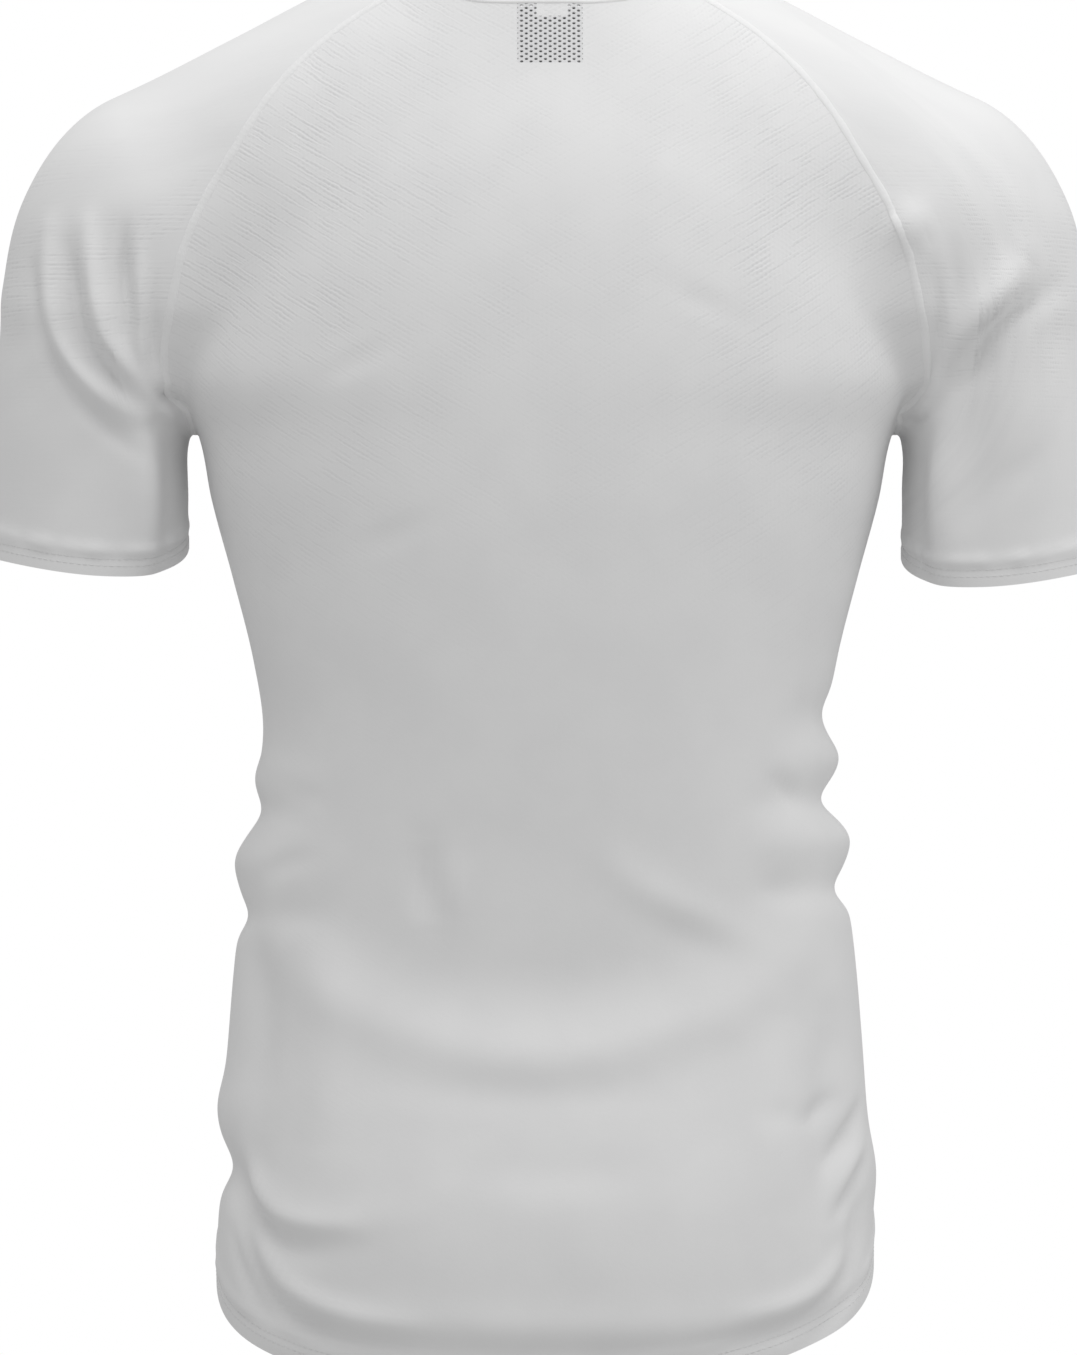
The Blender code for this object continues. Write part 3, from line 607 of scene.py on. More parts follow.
def relax(grid, part, rounds):
    """Even out a grid's inner points along the outer face."""
    for _ in range(rounds):
        inner = grid[1:-1, 1:-1]
        mean = (grid[2:, 1:-1] + grid[:-2, 1:-1] + grid[1:-1, 2:] + grid[1:-1, :-2]) / 4
        inner[:] = settle(inner + EVENING * (mean - inner), part, rounds=2)
    return grid


def panel_grid(left, right, hem, neck):
    """Rows from hem to neck and columns from left to right, on the cloth's outer face."""
    u = crowded_shares(len(hem) - 1)[None, :, None]
    climb = np.linalg.norm(np.diff(left, axis=0), axis=1)
    v = (np.concatenate(([0], np.cumsum(climb))) / climb.sum())[:, None, None]
    grid = left[:, None] * (1 - u) + right[:, None] * u + hem[None] * (1 - v) + neck[None] * v
    grid -= (hem[0] * (1 - v) + neck[0] * v) * (1 - u) + (hem[-1] * (1 - v) + neck[-1] * v) * u
    grid[1:-1, 1:-1] = settle(grid[1:-1, 1:-1], "body")
    return relax(grid, "body", EVENING_ROUNDS)


# %% Rows beside a seam
SEAM_STEPS = (5.0, 5.0, 6.0, 7.0, 8.0)
SHARPEST_MITRE = 0.5


def moves_inward(line, normals, inside, distance, closed=False):
    """Moves that draw an edge line back over the cloth, towards the side that inside names."""
    if closed:
        ahead = np.roll(line, -1, axis=0) - line
        behind = line - np.roll(line, 1, axis=0)
    else:
        ahead = np.diff(line, axis=0, append=(2 * line[-1] - line[-2])[None])
        behind = np.diff(line, axis=0, prepend=(2 * line[0] - line[1])[None])
    ahead, behind = unit(ahead), unit(behind)
    along = unit(ahead + behind)
    mitre = 1 / np.maximum((along * ahead).sum(axis=1), SHARPEST_MITRE)
    across = unit(np.cross(along, normals))
    across *= np.sign((across * inside).sum())
    return across * (distance * mitre)[:, None]


def rows_beside_seam(line, cuff):
    """Rows that follow the sleeve's seam over the cloth at growing distances, nearest first."""
    rows = []
    for step in SEAM_STEPS:
        normals = outward(line, "sleeve")
        line = line + moves_inward(line, normals, cuff - line, step, closed=True)
        for _ in range(2):
            beside = (np.roll(line, 1, axis=0) + np.roll(line, -1, axis=0)) / 2
            line = (line + beside) / 2
        line = settle(line, "sleeve", rounds=6)
        rows.append(line)
    return rows


# %% Coarse grid of a sleeve
SLEEVE_ROWS = 16
CUFF_HEIGHT = {"left": -284.0, "right": -289.0}
CUFF_TILT, CUFF_TWIST = 12.0, 3.0
SHOULDER_FALL, SHOULDER_FALL_FROM = (0.86, 0.0, -0.5), -90.0
COLUMN_REACH = 0.4


def sleeve_grid(cuff_height):
    """Rows from the cuff to the raglan seams; columns from the underarm round by the back."""
    top = np.concatenate((back_seam, side_neck[1:], front_seam[::-1][1:-1]))
    turn = np.linspace(0, 2 * math.pi, len(top), endpoint=False)
    height = cuff_height - CUFF_TILT * np.sin(turn) - CUFF_TWIST * np.sin(2 * turn)
    cuff = np.stack((arm_x(height) - arm_rx(height) * np.cos(turn),
                     arm_y(height) + arm_ry(height) * np.sin(turn), height), axis=1)
    beside = rows_beside_seam(top, cuff)
    far = beside[-1]
    reach = np.linalg.norm(far - cuff, axis=1, keepdims=True)
    upper = smooth_step(UNDERARM[2], SHOULDER_FALL_FROM, far[:, 2:])
    slope = unit(np.array(SHOULDER_FALL) * upper - UP * (1 - upper))
    v = even_shares(SLEEVE_ROWS - len(beside))[:, None, None]
    rise = cuff + UP * COLUMN_REACH * reach
    fall = far + slope * COLUMN_REACH * reach
    grid = (cuff * (1 - v) ** 3 + 3 * rise * v * (1 - v) ** 2
            + 3 * fall * v * v * (1 - v) + far * v ** 3)
    grid[1:-1] = settle(grid[1:-1], "sleeve")
    return np.concatenate((grid, beside[-2::-1], [top]))


# %% Finer grids
FINE_ROWS = {"panel": 5, "sleeve": 10}
FINE_COLUMNS = {"panel": 6, "sleeve": 4}
SLEEVE_CORNERS = (0, RAGLAN_ROWS, RAGLAN_ROWS + NECK_COLUMNS, 2 * RAGLAN_ROWS + NECK_COLUMNS)


def finer_places(points, times):
    """For times as many spaces: the space that each place is in, and how far along it is."""
    at = np.arange((len(points) - 1) * times + 1) / times
    i = np.minimum(at.astype(int), len(points) - 2)
    return i, (at - i).reshape((-1,) + (1,) * (points.ndim - 1))


def spread(points, times):
    """A smooth curve through the first axis of points, with times as many spaces."""
    chords = np.linalg.norm(np.diff(points, axis=0), axis=-1, keepdims=True)
    leans = np.diff(points, axis=0) / chords
    inner = (leans[:-1] * chords[1:] + leans[1:] * chords[:-1]) / (chords[1:] + chords[:-1])
    slopes = np.concatenate((2 * leans[:1] - inner[:1], inner, 2 * leans[-1:] - inner[-1:]))
    i, t = finer_places(points, times)
    return eased(points[i], points[i + 1], slopes[i] * chords[i], slopes[i + 1] * chords[i], t)


def straight_between(points, times):
    """As many times the spaces along the first axis, on straight lines."""
    i, share = finer_places(points, times)
    return points[i] * (1 - share) + points[i + 1] * share


def spread_between(points, times, corners):
    """Spread each stretch between corners by itself, so that a corner stays one."""
    stretches = [spread(points[a:b + 1], times) for a, b in zip(corners, corners[1:])]
    return np.concatenate([stretches[0]] + [stretch[1:] for stretch in stretches[1:]])


def fine_panel(grid):
    rows = spread_between(grid, FINE_ROWS["panel"], (0, SIDE_ROWS, SIDE_ROWS + RAGLAN_ROWS))
    across = spread(rows.transpose(1, 0, 2), FINE_COLUMNS["panel"])
    return settle(across.transpose(1, 0, 2), "body", rounds=3)


def fine_sleeve(grid):
    rows = straight_between(grid, FINE_ROWS["sleeve"])
    joined = np.concatenate((rows, rows[:, :1]), axis=1).transpose(1, 0, 2)
    across = spread_between(joined, FINE_COLUMNS["sleeve"], SLEEVE_CORNERS)[:-1]
    return settle(across.transpose(1, 0, 2), "sleeve", rounds=3)


def travel_along(points, axis):
    """Distance from the first point, measured along one axis of a grid."""
    steps = np.linalg.norm(np.diff(points, axis=axis), axis=-1)
    start = np.zeros_like(np.take(steps, [0], axis=axis))
    return np.cumsum(np.concatenate((start, steps), axis=axis), axis=axis)


# %% [markdown]
# ## Relief of a turned hem
#
# A hem and a cuff are the cloth turned up once and held by a twin-needle stitch.  The doubled
# band stands a little proud, the stitch line pulls in, and the single cloth above it swells
# slightly and unevenly between the stitches.  A bump map would leave the outline smooth, so the
# relief moves the grid.  It depends on the distance from the edge and on slow waves along it,
# which close round a sleeve and grow calm beside a seam.

# %% Hem relief
HEM_DEPTH = {"panel": 9.5, "sleeve": 8.0}
SWELL = {"panel": 0.9, "sleeve": 1.4}
BAND_RISE, BAND_SOFTNESS = 0.3, 2
GROOVE, GROOVE_WIDTH = 0.35, 2.4
SWELL_ABOVE, SWELL_WIDTH = 3.6, 3.5
PUCKER_WAVES = ((14, 0.0, 0.5), (23, 1.3, 0.3), (34, 2.1, 0.2))   # count, phase, share
PUCKER, SEAM_HOLD, SEAM_CALM = 0.5, 0.6, 12.0


def hem_relief(from_edge, along, length, kind):
    """The relief of a hem at distances from its edge and along it, out of the edge's length."""
    depth = HEM_DEPTH[kind]
    turn = 2 * math.pi * along / length
    wave = sum(share * np.sin(count * turn + phase) for count, phase, share in PUCKER_WAVES)
    from_seam = np.minimum(along, length - along)
    loose = (1 + PUCKER * wave) * (1 - SEAM_HOLD * np.exp(-(from_seam / SEAM_CALM) ** 2))
    band = BAND_RISE * (1 - smooth_step(depth - BAND_SOFTNESS, depth, from_edge))
    groove = -GROOVE * loose * np.exp(-((from_edge - depth) / GROOVE_WIDTH) ** 2)
    above = (from_edge - depth - SWELL_ABOVE) / SWELL_WIDTH
    return band + groove + SWELL[kind] * loose * np.exp(-above ** 2)


across_hem = np.linspace(0, 2 * HEM_DEPTH["panel"], 81)
highest = hem_relief(across_hem, 0.0, 1.0, "panel").max()
print("highest relief of the hem at a side seam, mm:", round(float(highest), 2))

# %% [markdown]
# ## From grid to shell
#
# A shell is the outer grid, an inner grid one wall further in, and a rim that joins them.  A
# Solidify modifier would thicken a grid evenly, but here the wall grows at the hem.  The mesh
# also carries each corner's place in the flat cloth, in metres: across from the middle of the
# piece, and up.  The knit is drawn from that place, so it lies straight in the cloth.

# %% Pieces with their place in the cloth
SHARP_ANGLE = 50


def added(name, data):
    """A new object in the scene that shows data."""
    thing = bpy.data.objects.new(name, data)
    bpy.context.scene.collection.objects.link(thing)
    return thing


def cloth_piece(name, verts, faces, places, domain, finish):
    """An object that carries the places in the flat cloth of its points or corners."""
    mesh = bpy.data.meshes.new(name)
    mesh.from_pydata((verts * MM).tolist(), [], faces)
    mesh.shade_smooth()
    cloth = np.zeros((places.size // 2, 3))
    cloth[:, :2] = places.reshape(-1, 2) * MM
    layer = mesh.attributes.new("cloth_place", "FLOAT_VECTOR", domain)
    layer.data.foreach_set("vector", cloth.ravel())
    mesh.materials.append(finish)
    return added(name, mesh)


def outer_area(grid):
    """Area of a grid's outer face, in square metres."""
    across = np.diff(grid, axis=1)[:-1]
    up = np.diff(grid, axis=0)[:, :-1]
    return float(np.linalg.norm(np.cross(across, up), axis=-1).sum()) * MM * MM


# %% Faces of a shell
def grid_normals(points, ring=False):
    """The direction out of a grid of points, from its neighbours in both directions."""
    up = np.gradient(points, axis=0)
    if ring:
        across = np.roll(points, -1, axis=1) - np.roll(points, 1, axis=1)
    else:
        across = np.gradient(points, axis=1)
    return unit(np.cross(up, across))


def shell_faces(rows, columns, ring):
    """Faces of the outer grid, the inner grid and the rims; ring joins the last column."""
    count = rows * columns
    spans = columns if ring else columns - 1
    row, column = np.meshgrid(np.arange(rows - 1), np.arange(spans), indexing="ij")
    beside = (column + 1) % columns
    corners = (row * columns + column, row * columns + beside,
               (row + 1) * columns + beside, (row + 1) * columns + column)
    quads = np.stack([corner.ravel() for corner in corners], axis=1)
    lowest = np.arange(spans + 1) % columns
    rims = [lowest, ((rows - 1) * columns + lowest)[::-1]]
    if not ring:
        rims += [np.arange(rows) * columns + columns - 1, (np.arange(rows) * columns)[::-1]]
    edges = [np.stack((rim[:-1], rim[:-1] + count, rim[1:] + count, rim[1:]), axis=1)
             for rim in rims]
    return np.concatenate([quads, quads[:, ::-1] + count] + edges)


def turned_out(verts, faces):
    """The faces, turned over if together they enclose a volume below 0."""
    a, b, c, d = (verts[faces[:, corner]] for corner in range(4))
    volume = (np.cross(a, b) * c).sum() + (np.cross(a, c) * d).sum()
    return faces[:, ::-1] if volume < 0 else faces


# %% Shells
def walled(name, outer, inner, place, ring, finish):
    """One closed shell between an outer and an inner grid."""
    rows, columns = outer.shape[:2]
    verts = np.concatenate((outer.reshape(-1, 3), inner.reshape(-1, 3)))
    faces = turned_out(verts, shell_faces(rows, columns, ring))
    spots = faces % (rows * columns)
    places = place.reshape(-1, 2)[spots]
    if ring:
        in_column = spots % columns
        closes = (in_column == columns - 1).any(axis=1, keepdims=True) & (in_column == 0)
        last_step = np.linalg.norm(outer[:, 0] - outer[:, -1], axis=-1)
        girth = place[:, -1, 0] - place[:, 0, 0] + last_step
        places[..., 0] += np.where(closes, girth[spots // columns], 0.0)
    piece = cloth_piece(name, verts, faces.tolist(), places, "CORNER", finish)
    piece.data.set_sharp_from_angle(angle=math.radians(SHARP_ANGLE))
    return piece


# %% [markdown]
# ## Finishes as expressions
#
# A procedural finish is a sum of waves and noises, and it reads best as arithmetic.  It could be
# wired by hand, node by node, but the sum would be hard to follow.  One small class wraps a
# node's socket: `+`, `-` and `*` add Math nodes, and `node` adds any other node.

# %% A socket that can be calculated with
class Value:
    def __init__(self, tree, socket=None):
        self.tree = tree
        self.socket = socket

    def node(self, kind, settings=None, inputs=None, output=0):
        """Add a node: its settings first, then its sockets' values or links."""
        made = self.tree.nodes.new(kind)
        for name, setting in (settings or {}).items():
            setattr(made, name, setting)
        for name, value in (inputs or {}).items():
            if isinstance(value, Value):
                self.tree.links.new(value.socket, made.inputs[name])
            else:
                made.inputs[name].default_value = value
        return Value(self.tree, made.outputs[output] if made.outputs else None)

    def math(self, operation, first, second=0.0, third=0.0):
        inputs = {0: first, 1: second, 2: third}
        return self.node("ShaderNodeMath", {"operation": operation}, inputs)

    def __add__(self, other):
        return self.math("ADD", self, other)

    def __radd__(self, other):
        return self.math("ADD", other, self)

    def __sub__(self, other):
        return self.math("SUBTRACT", self, other)

    def __rsub__(self, other):
        return self.math("SUBTRACT", other, self)

    def __mul__(self, other):
        return self.math("MULTIPLY", self, other)

    def __rmul__(self, other):
        return self.math("MULTIPLY", other, self)

    def cosine(self):
        return self.math("COSINE", self)

    def wave(self, length):
        """A cosine wave of this length, 1 where the value is 0."""
        return (self * (2 * math.pi / length)).cosine()

    def from_to(self, low, high, start=0.0, end=1.0):
        """A smooth step of this value, from start at low to end at high."""
        inputs = {"Value": self, "From Min": low, "From Max": high, "To Min": start, "To Max": end}
        return self.node("ShaderNodeMapRange", {"interpolation_type": "SMOOTHSTEP"}, inputs)

    def shade(self, dark, light):
        """The colour between two colours that this value picks."""
        inputs = {"Factor": self, 6: (*dark, 1), 7: (*light, 1)}
        return self.node("ShaderNodeMix", {"data_type": "RGBA"}, inputs, output=2)


# %% Starting and ending a finish
def new_finish(name):
    """An empty material, and a value to start its expressions from."""
    finish = bpy.data.materials.new(name)
    finish.use_nodes = True
    finish.node_tree.nodes.clear()
    return finish, Value(finish.node_tree)


def close_finish(maker, colour, roughness, height, depth, sheen=0.0, alpha=1.0):
    """Feed a Principled shader and the material's output; depth is the relief in metres."""
    bump = maker.node("ShaderNodeBump", None, {"Strength": 1.0, "Distance": depth, "Height": height})
    shader = maker.node("ShaderNodeBsdfPrincipled", None, {
        "Base Color": colour, "Roughness": roughness, "Metallic": 0.0, "Specular IOR Level": 0.3,
        "Sheen Weight": sheen, "Sheen Roughness": 0.5, "Normal": bump, "Alpha": alpha})
    maker.node("ShaderNodeOutputMaterial", None, {"Surface": shader})


def place_in_cloth(maker):
    """The place in the flat cloth, and its two parts: across and up, in metres."""
    place = maker.node("ShaderNodeAttribute", {"attribute_name": "cloth_place"}, None, output=1)
    across, up = (maker.node("ShaderNodeSeparateXYZ", None, {0: place}, axis) for axis in (0, 1))
    return place, across, up


def slow_noise(maker, place, scale, detail=2.0):
    inputs = {"Vector": place, "Scale": scale, "Detail": detail, "Roughness": 0.5}
    return maker.node("ShaderNodeTexNoise", None, inputs)


# %% [markdown]
# ## Eyelet mesh
#
# The knit is a hexagonal net: columns of small eyelets, with every other column half a row
# lower.  Cut holes would need millions of faces for eyelets of 1 mm, so the net is relief and
# painted shade: each eyelet is painted darker.  Three cosines make it, two for the slanting rows
# and one for the columns.  Light from above picks out one slanting family on each side of the
# back, so a slow mask across each panel weighs the families, in the painted tone as well as in
# the relief.  Slow masks also weaken the net low on the back, beside the spine, and on the
# sleeves near the cuffs and over the shoulders.  The eyelets open only in front of the label,
# because only there is something dark behind them.

# %% The net
COLUMN_PITCH = 2.19 * MM
ROW_PITCH = 2.5 * MM
WANDER, JITTER = 1.2 * MM, 1.5 * MM


def net_of(across, up, row_pitch):
    """The three wave families of the net; each is 1 in the middle of an eyelet."""
    rising = up * (2 * math.pi / row_pitch)
    beside = across * (math.pi / COLUMN_PITCH)
    return (rising - beside).cosine(), (rising + beside).cosine(), (beside * 2.0).cosine()


def pulled_up(maker, place, up):
    """The height in the cloth, pulled unevenly by wear, so that no row runs quite straight."""
    return up + slow_noise(maker, place, 90.0) * WANDER + slow_noise(maker, place, 210.0) * JITTER


def dashes(maker, across, up, slant):
    """A noise drawn out along a slant; it breaks long rows into dashes."""
    drawn_out = maker.node("ShaderNodeCombineXYZ", None, {0: across * 0.2, 1: up - across * slant})
    return slow_noise(maker, drawn_out, 330.0, 1.0).from_to(0.4, 0.62)


# %% Where the label shows
LABEL_WIDTH, LABEL_CENTRE = 28.7, -2.1
LABEL_TOP, LABEL_BOTTOM = -35.0, -62.0
NOTCH_WIDTH, NOTCH_CENTRE, NOTCH_BOTTOM = 14.6, -3.2, -40.2
LABEL_MARGIN = 0.6
PROFILE = (-690, -22, 120)             # heights from the hem to the neck


def profile_travel(side):
    """Height to distance along the centre of the back or front, both in millimetres."""
    heights = np.linspace(*PROFILE)
    profile = np.array([seen_from(side, 0.0, height) for height in heights])
    return heights, travel_along(profile, 0)


def upright_window(maker, across, up, centre, width, foot, softness):
    """1 inside an upright window that is open at its top, 0 outside; sizes in millimetres."""
    beside = maker.math("ABSOLUTE", across - centre * MM)
    half, soft = width / 2 * MM, softness * MM
    inside = beside.from_to(half - soft, half + soft, 1.0, 0.0)
    return inside * up.from_to(foot - soft, foot + soft)


def label_openings(maker, across, up):
    """The open eyelets, and the place of the label with a notch for its loop."""
    falling, climbing, columns = net_of(across, up, ROW_PITCH)
    eyelets = (falling + climbing + columns * 0.25).from_to(0.45, 1.2)
    wide = LABEL_WIDTH + 2 * LABEL_MARGIN
    label = upright_window(maker, across, up, LABEL_CENTRE, wide, WINDOW_FOOT, 0.4)
    notch = upright_window(maker, across, up, NOTCH_CENTRE, NOTCH_WIDTH, NOTCH_FOOT, 0.7)
    return eyelets, label * (1.0 - notch)


heights, travel = profile_travel(1)
WINDOW_FOOT, NOTCH_FOOT = (np.interp((LABEL_BOTTOM, NOTCH_BOTTOM), heights, travel)
                           - travel[-1]) * MM
print("the label shows down to", round(float(WINDOW_FOOT / MM), 1), "mm along the cloth")

# %% The knit of the panels
WHITE_THREAD = (0.80, 0.80, 0.80)
# The darker grey that the knit is mixed towards: painted shade in the eyelets, random blotches, and the
# cloth over the dark label.
PAINTED_SHADE_AND_BLOTCH_GREY = (0.60, 0.60, 0.61)
KNIT_ROUGHNESS, KNIT_RELIEF, KNIT_SHEEN = 0.82, 0.14 * MM, 0.12


def knit_look(maker, place, net, fade, reliefs, shaded, darkness):
    """The height and the tone of a net: eyelets are low and painted darker, as painted shade, and fine
    grain covers all.
    """
    grain = slow_noise(maker, place, 420.0, 3.0)
    blotch = slow_noise(maker, place, 26.0).from_to(0.3, 0.7, 0.0, 0.12)
    height = 0.0 - net * fade * reliefs[0] + grain * reliefs[1]
    return height, 1.0 - net.from_to(*shaded) * fade * darkness - blotch


def panel_finish(name, label_window):
    """Eyelet mesh for the two body panels."""
    finish, maker = new_finish(name)
    place, across, up = place_in_cloth(maker)
    falling, climbing, columns = net_of(across, pulled_up(maker, place, up), ROW_PITCH)
    # Painted light: light from above picks out the falling family on the garment's left and the
    # climbing one on its right, so each is weighted up there, in the tone as well as the relief.
    to_left = across.from_to(-0.10, 0.10)
    slant = ROW_PITCH / COLUMN_PITCH / 2
    to_right_down = falling * dashes(maker, across, up, slant) * (0.25 + 0.85 * to_left)
    to_right_up = climbing * dashes(maker, across, up, -slant) * (1.1 - 0.85 * to_left)
    net = to_right_down + to_right_up + columns * 0.15
    patches = slow_noise(maker, place, 24.0, 3.0).from_to(0.3, 0.7, 0.3, 1.0)
    beside_spine = maker.math("ABSOLUTE", across).from_to(0.03, 0.12, 0.5, 1.0)
    fade = up.from_to(-0.36, -0.10, 0.08, 1.0) * patches * beside_spine
    height, tone = knit_look(maker, place, net, fade, (0.42, 0.3), (0.1, 1.2), 0.4)
    alpha = 1.0
    if label_window:
        eyelets, over_label = label_openings(maker, across, up)
        alpha = 1.0 - eyelets * over_label
        tone = tone - over_label * 0.35
    colour = tone.shade(PAINTED_SHADE_AND_BLOTCH_GREY, WHITE_THREAD)
    close_finish(maker, colour, KNIT_ROUGHNESS, height, KNIT_RELIEF, KNIT_SHEEN, alpha)
    return finish


# %% The knit of the sleeves
SLEEVE_ROW_PITCH = 2.25 * MM
SLEEVE_WANDER = 0.7 * MM


def sleeve_finish(name):
    """The same mesh on the sleeves, where the courses show as fine level rows."""
    finish, maker = new_finish(name)
    place, across, up = place_in_cloth(maker)
    falling, climbing, columns = net_of(across, up, 2 * SLEEVE_ROW_PITCH)
    courses = (up + slow_noise(maker, place, 90.0) * SLEEVE_WANDER).wave(SLEEVE_ROW_PITCH)
    net = courses * dashes(maker, across, up, 0.0) + (falling + climbing) * 0.15 + columns * 0.1
    patches = slow_noise(maker, place, 22.0, 3.0).from_to(0.35, 0.65, 0.1, 1.0)
    fade = up.from_to(-0.235, -0.18, 0.12, 1.0) * up.from_to(-0.14, -0.08, 1.0, 0.05) * patches
    height, tone = knit_look(maker, place, net, fade, (0.3, 0.32), (0.2, 1.3), 0.35)
    colour = tone.shade(PAINTED_SHADE_AND_BLOTCH_GREY, WHITE_THREAD)
    close_finish(maker, colour, KNIT_ROUGHNESS, height, KNIT_RELIEF, KNIT_SHEEN)
    return finish


# %% [markdown]
# ## Rib, tape and thread
#
# The collar is a rib knit, so its relief is upright ridges.  The label is a plain dark woven
# tape, left blank.  Thread is two strands twisted together, which a slanting wave gives.  Each is
# too fine to be modelled, and one or two waves are enough for it.

# %% Small finishes
RIB_PITCH, LOOP_PITCH = 1.9 * MM, 1.1 * MM
WARP_PITCH, WEFT_PITCH = 0.5 * MM, 0.7 * MM
TWIST_PITCH = 0.9 * MM


def rib_finish(name):
    finish, maker = new_finish(name)
    place, across, up = place_in_cloth(maker)
    ribs = across.wave(RIB_PITCH)
    height = ribs * 0.5 + up.wave(LOOP_PITCH) * 0.12
    # The grooves between the ribs are painted darker than the ridges: painted shade.
    colour = (ribs * 0.25 + 0.7).shade((0.58, 0.58, 0.59), (0.82, 0.82, 0.82))
    close_finish(maker, colour, 0.85, height, 0.3 * MM, sheen=0.1)
    return finish


def tape_finish(name):
    finish, maker = new_finish(name)
    place, across, up = place_in_cloth(maker)
    weave = across.wave(WARP_PITCH) * up.wave(WEFT_PITCH)
    # The tape itself is dark; the low places of the weave are painted darker still, as painted shade
    # between the threads.
    colour = weave.from_to(-1.0, 1.0).shade((0.05, 0.05, 0.055), (0.10, 0.10, 0.105))
    close_finish(maker, colour, 0.7, weave, 0.05 * MM)
    return finish


def thread_finish(name):
    finish, maker = new_finish(name)
    place, across, up = place_in_cloth(maker)
    twist = (across + up).wave(TWIST_PITCH)
    grain = slow_noise(maker, place, 600.0)
    # The grooves of the twist are painted darker, as painted shade; the grain is a random tone that
    # also follows the relief.
    colour = (twist * 0.15 + grain * 0.5 + 0.35).shade((0.80, 0.80, 0.80), (0.84, 0.84, 0.84))
    close_finish(maker, colour, 0.75, twist * 0.3 + grain * 0.5, 0.06 * MM, sheen=0.1)
    return finish


# %% [markdown]
# ## The two body panels
#
# Back and front meet at the side seams and share their points there.  The back hangs lower, as
# a shirt tail does.  One loop makes both, since they differ only in seam, neck and hem.  The
# place of each point in the cloth is measured across from the middle of its row, and up by the
# profile of the panel's middle, so that the eyelets keep their size.

# %% From a plain grid to a dressed shell
WALL, HEM_WALL = 1.3, 2.2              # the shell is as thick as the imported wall
SEAM_GAP = 0.3
Dressed = namedtuple("Dressed", "piece outer from_edge")


def level_in_cloth(points, side):
    """Each point's distance up the cloth, 0 at the neck."""
    heights, travel = profile_travel(side)
    return np.interp(points[..., 2], heights, travel) - travel[-1]


def dressed(grid, part, from_edge, along, length, kind):
    """The outer face with its folds and its hem's relief."""
    normals = outward(grid, part)
    rise = fold_rise(grid) + hem_relief(from_edge, along, length, kind)
    return grid + normals * rise[..., None]


def drawn_back(outer, ring):
    """Leave half a seam gap along every edge that is sewn to another piece."""
    normals = grid_normals(outer, ring)
    moved = outer.copy()
    moved[-1] += moves_inward(outer[-1], normals[-1], outer[-2] - outer[-1], SEAM_GAP / 2, ring)
    if not ring:
        for edge, beside in ((0, 1), (-1, -2)):
            inside = outer[:, beside] - outer[:, edge]
            moved[:, edge] += moves_inward(outer[:, edge], normals[:, edge], inside, SEAM_GAP / 2)
    return moved


def shell(name, outer, place, from_edge, depth, ring, finish):
    """The closed shell of one panel; its turned hem is thicker."""
    walls = WALL + (HEM_WALL - WALL) * (1 - smooth_step(depth - 1, depth + 1, from_edge))
    normals = grid_normals(outer, ring)
    if (normals * (outer - outer.mean(axis=(0, 1)))).sum() < 0:
        normals = -normals
    moved = drawn_back(outer, ring)
    return walled(name, moved, moved - normals * walls[..., None], place, ring, finish)


# %% Body panels
BACK_HEM_DROP, BACK_HEM_ROUNDNESS = 64.0, 2.75
FRONT_HEM_DROP, FRONT_HEM_ROUNDNESS = 26.0, 2.6

panels = {}
for name, seam, neck, side, hem_angles, drop, roundness in (
        ("back", back_seam, back_neck, 1, (SIDE_SEAM_ANGLE, -SIDE_SEAM_ANGLE),
         BACK_HEM_DROP, BACK_HEM_ROUNDNESS),
        ("front", front_seam, front_neck, -1, (SIDE_SEAM_ANGLE, 360 - SIDE_SEAM_ANGLE),
         FRONT_HEM_DROP, FRONT_HEM_ROUNDNESS)):
    left = np.concatenate((left_side, seam[1:]))
    right = np.concatenate((right_side, mirrored(seam)[1:]))
    plain = fine_panel(panel_grid(left, right, hem_curve(*hem_angles, drop, roundness), neck))
    from_edge, across = travel_along(plain, 0), travel_along(plain, 1)
    outer = dressed(plain, "body", from_edge, across, across[:, -1:], "panel")
    middle = across[:, across.shape[1] // 2][:, None]
    place = np.stack((middle - across, level_in_cloth(plain, side)), axis=-1)
    finish = panel_finish(f"{name}_mesh_knit", label_window=name == "back")
    piece = shell(f"{name}_knit", outer, place, from_edge, HEM_DEPTH["panel"], False, finish)
    panels[name] = Dressed(piece, outer, from_edge)
    print(f"{name} panel: {outer_area(outer):.3f} m2, {len(piece.data.polygons)} faces")

# %% [markdown]
# ## The sleeves
#
# A raglan sleeve runs to the neck, so its top edge is the back seam, a short stretch of the neck
# seam and the front seam.  It is cut in one piece and sewn up under the arm.  It could be made
# as a flat grid and joined there, but a ring of columns needs no joining, and the seam is laid on
# it later.  The right sleeve is the left one's mirror image with a slightly lower cuff.

# %% Sleeves
sleeves = {}
for side in ("left", "right"):
    plain = fine_sleeve(sleeve_grid(CUFF_HEIGHT[side]))
    if side == "right":
        plain = mirrored(plain)[:, ::-1]
    from_edge = travel_along(plain, 0)
    closed = travel_along(np.concatenate((plain, plain[:, :1]), axis=1), 1)
    around, girth = closed[:, :-1], closed[:, -1:]
    outer = dressed(plain, "sleeve", from_edge, around, girth, "sleeve")
    place = np.stack((around, plain[..., 2]), axis=-1)
    finish = sleeve_finish(f"sleeve_{side}_mesh_knit")
    piece = shell(f"sleeve_{side}_knit", outer, place, from_edge, HEM_DEPTH["sleeve"], True, finish)
    sleeves[side] = Dressed(piece, outer, from_edge)
    print(f"{side} sleeve: {outer_area(outer):.3f} m2, {len(piece.data.polygons)} faces")

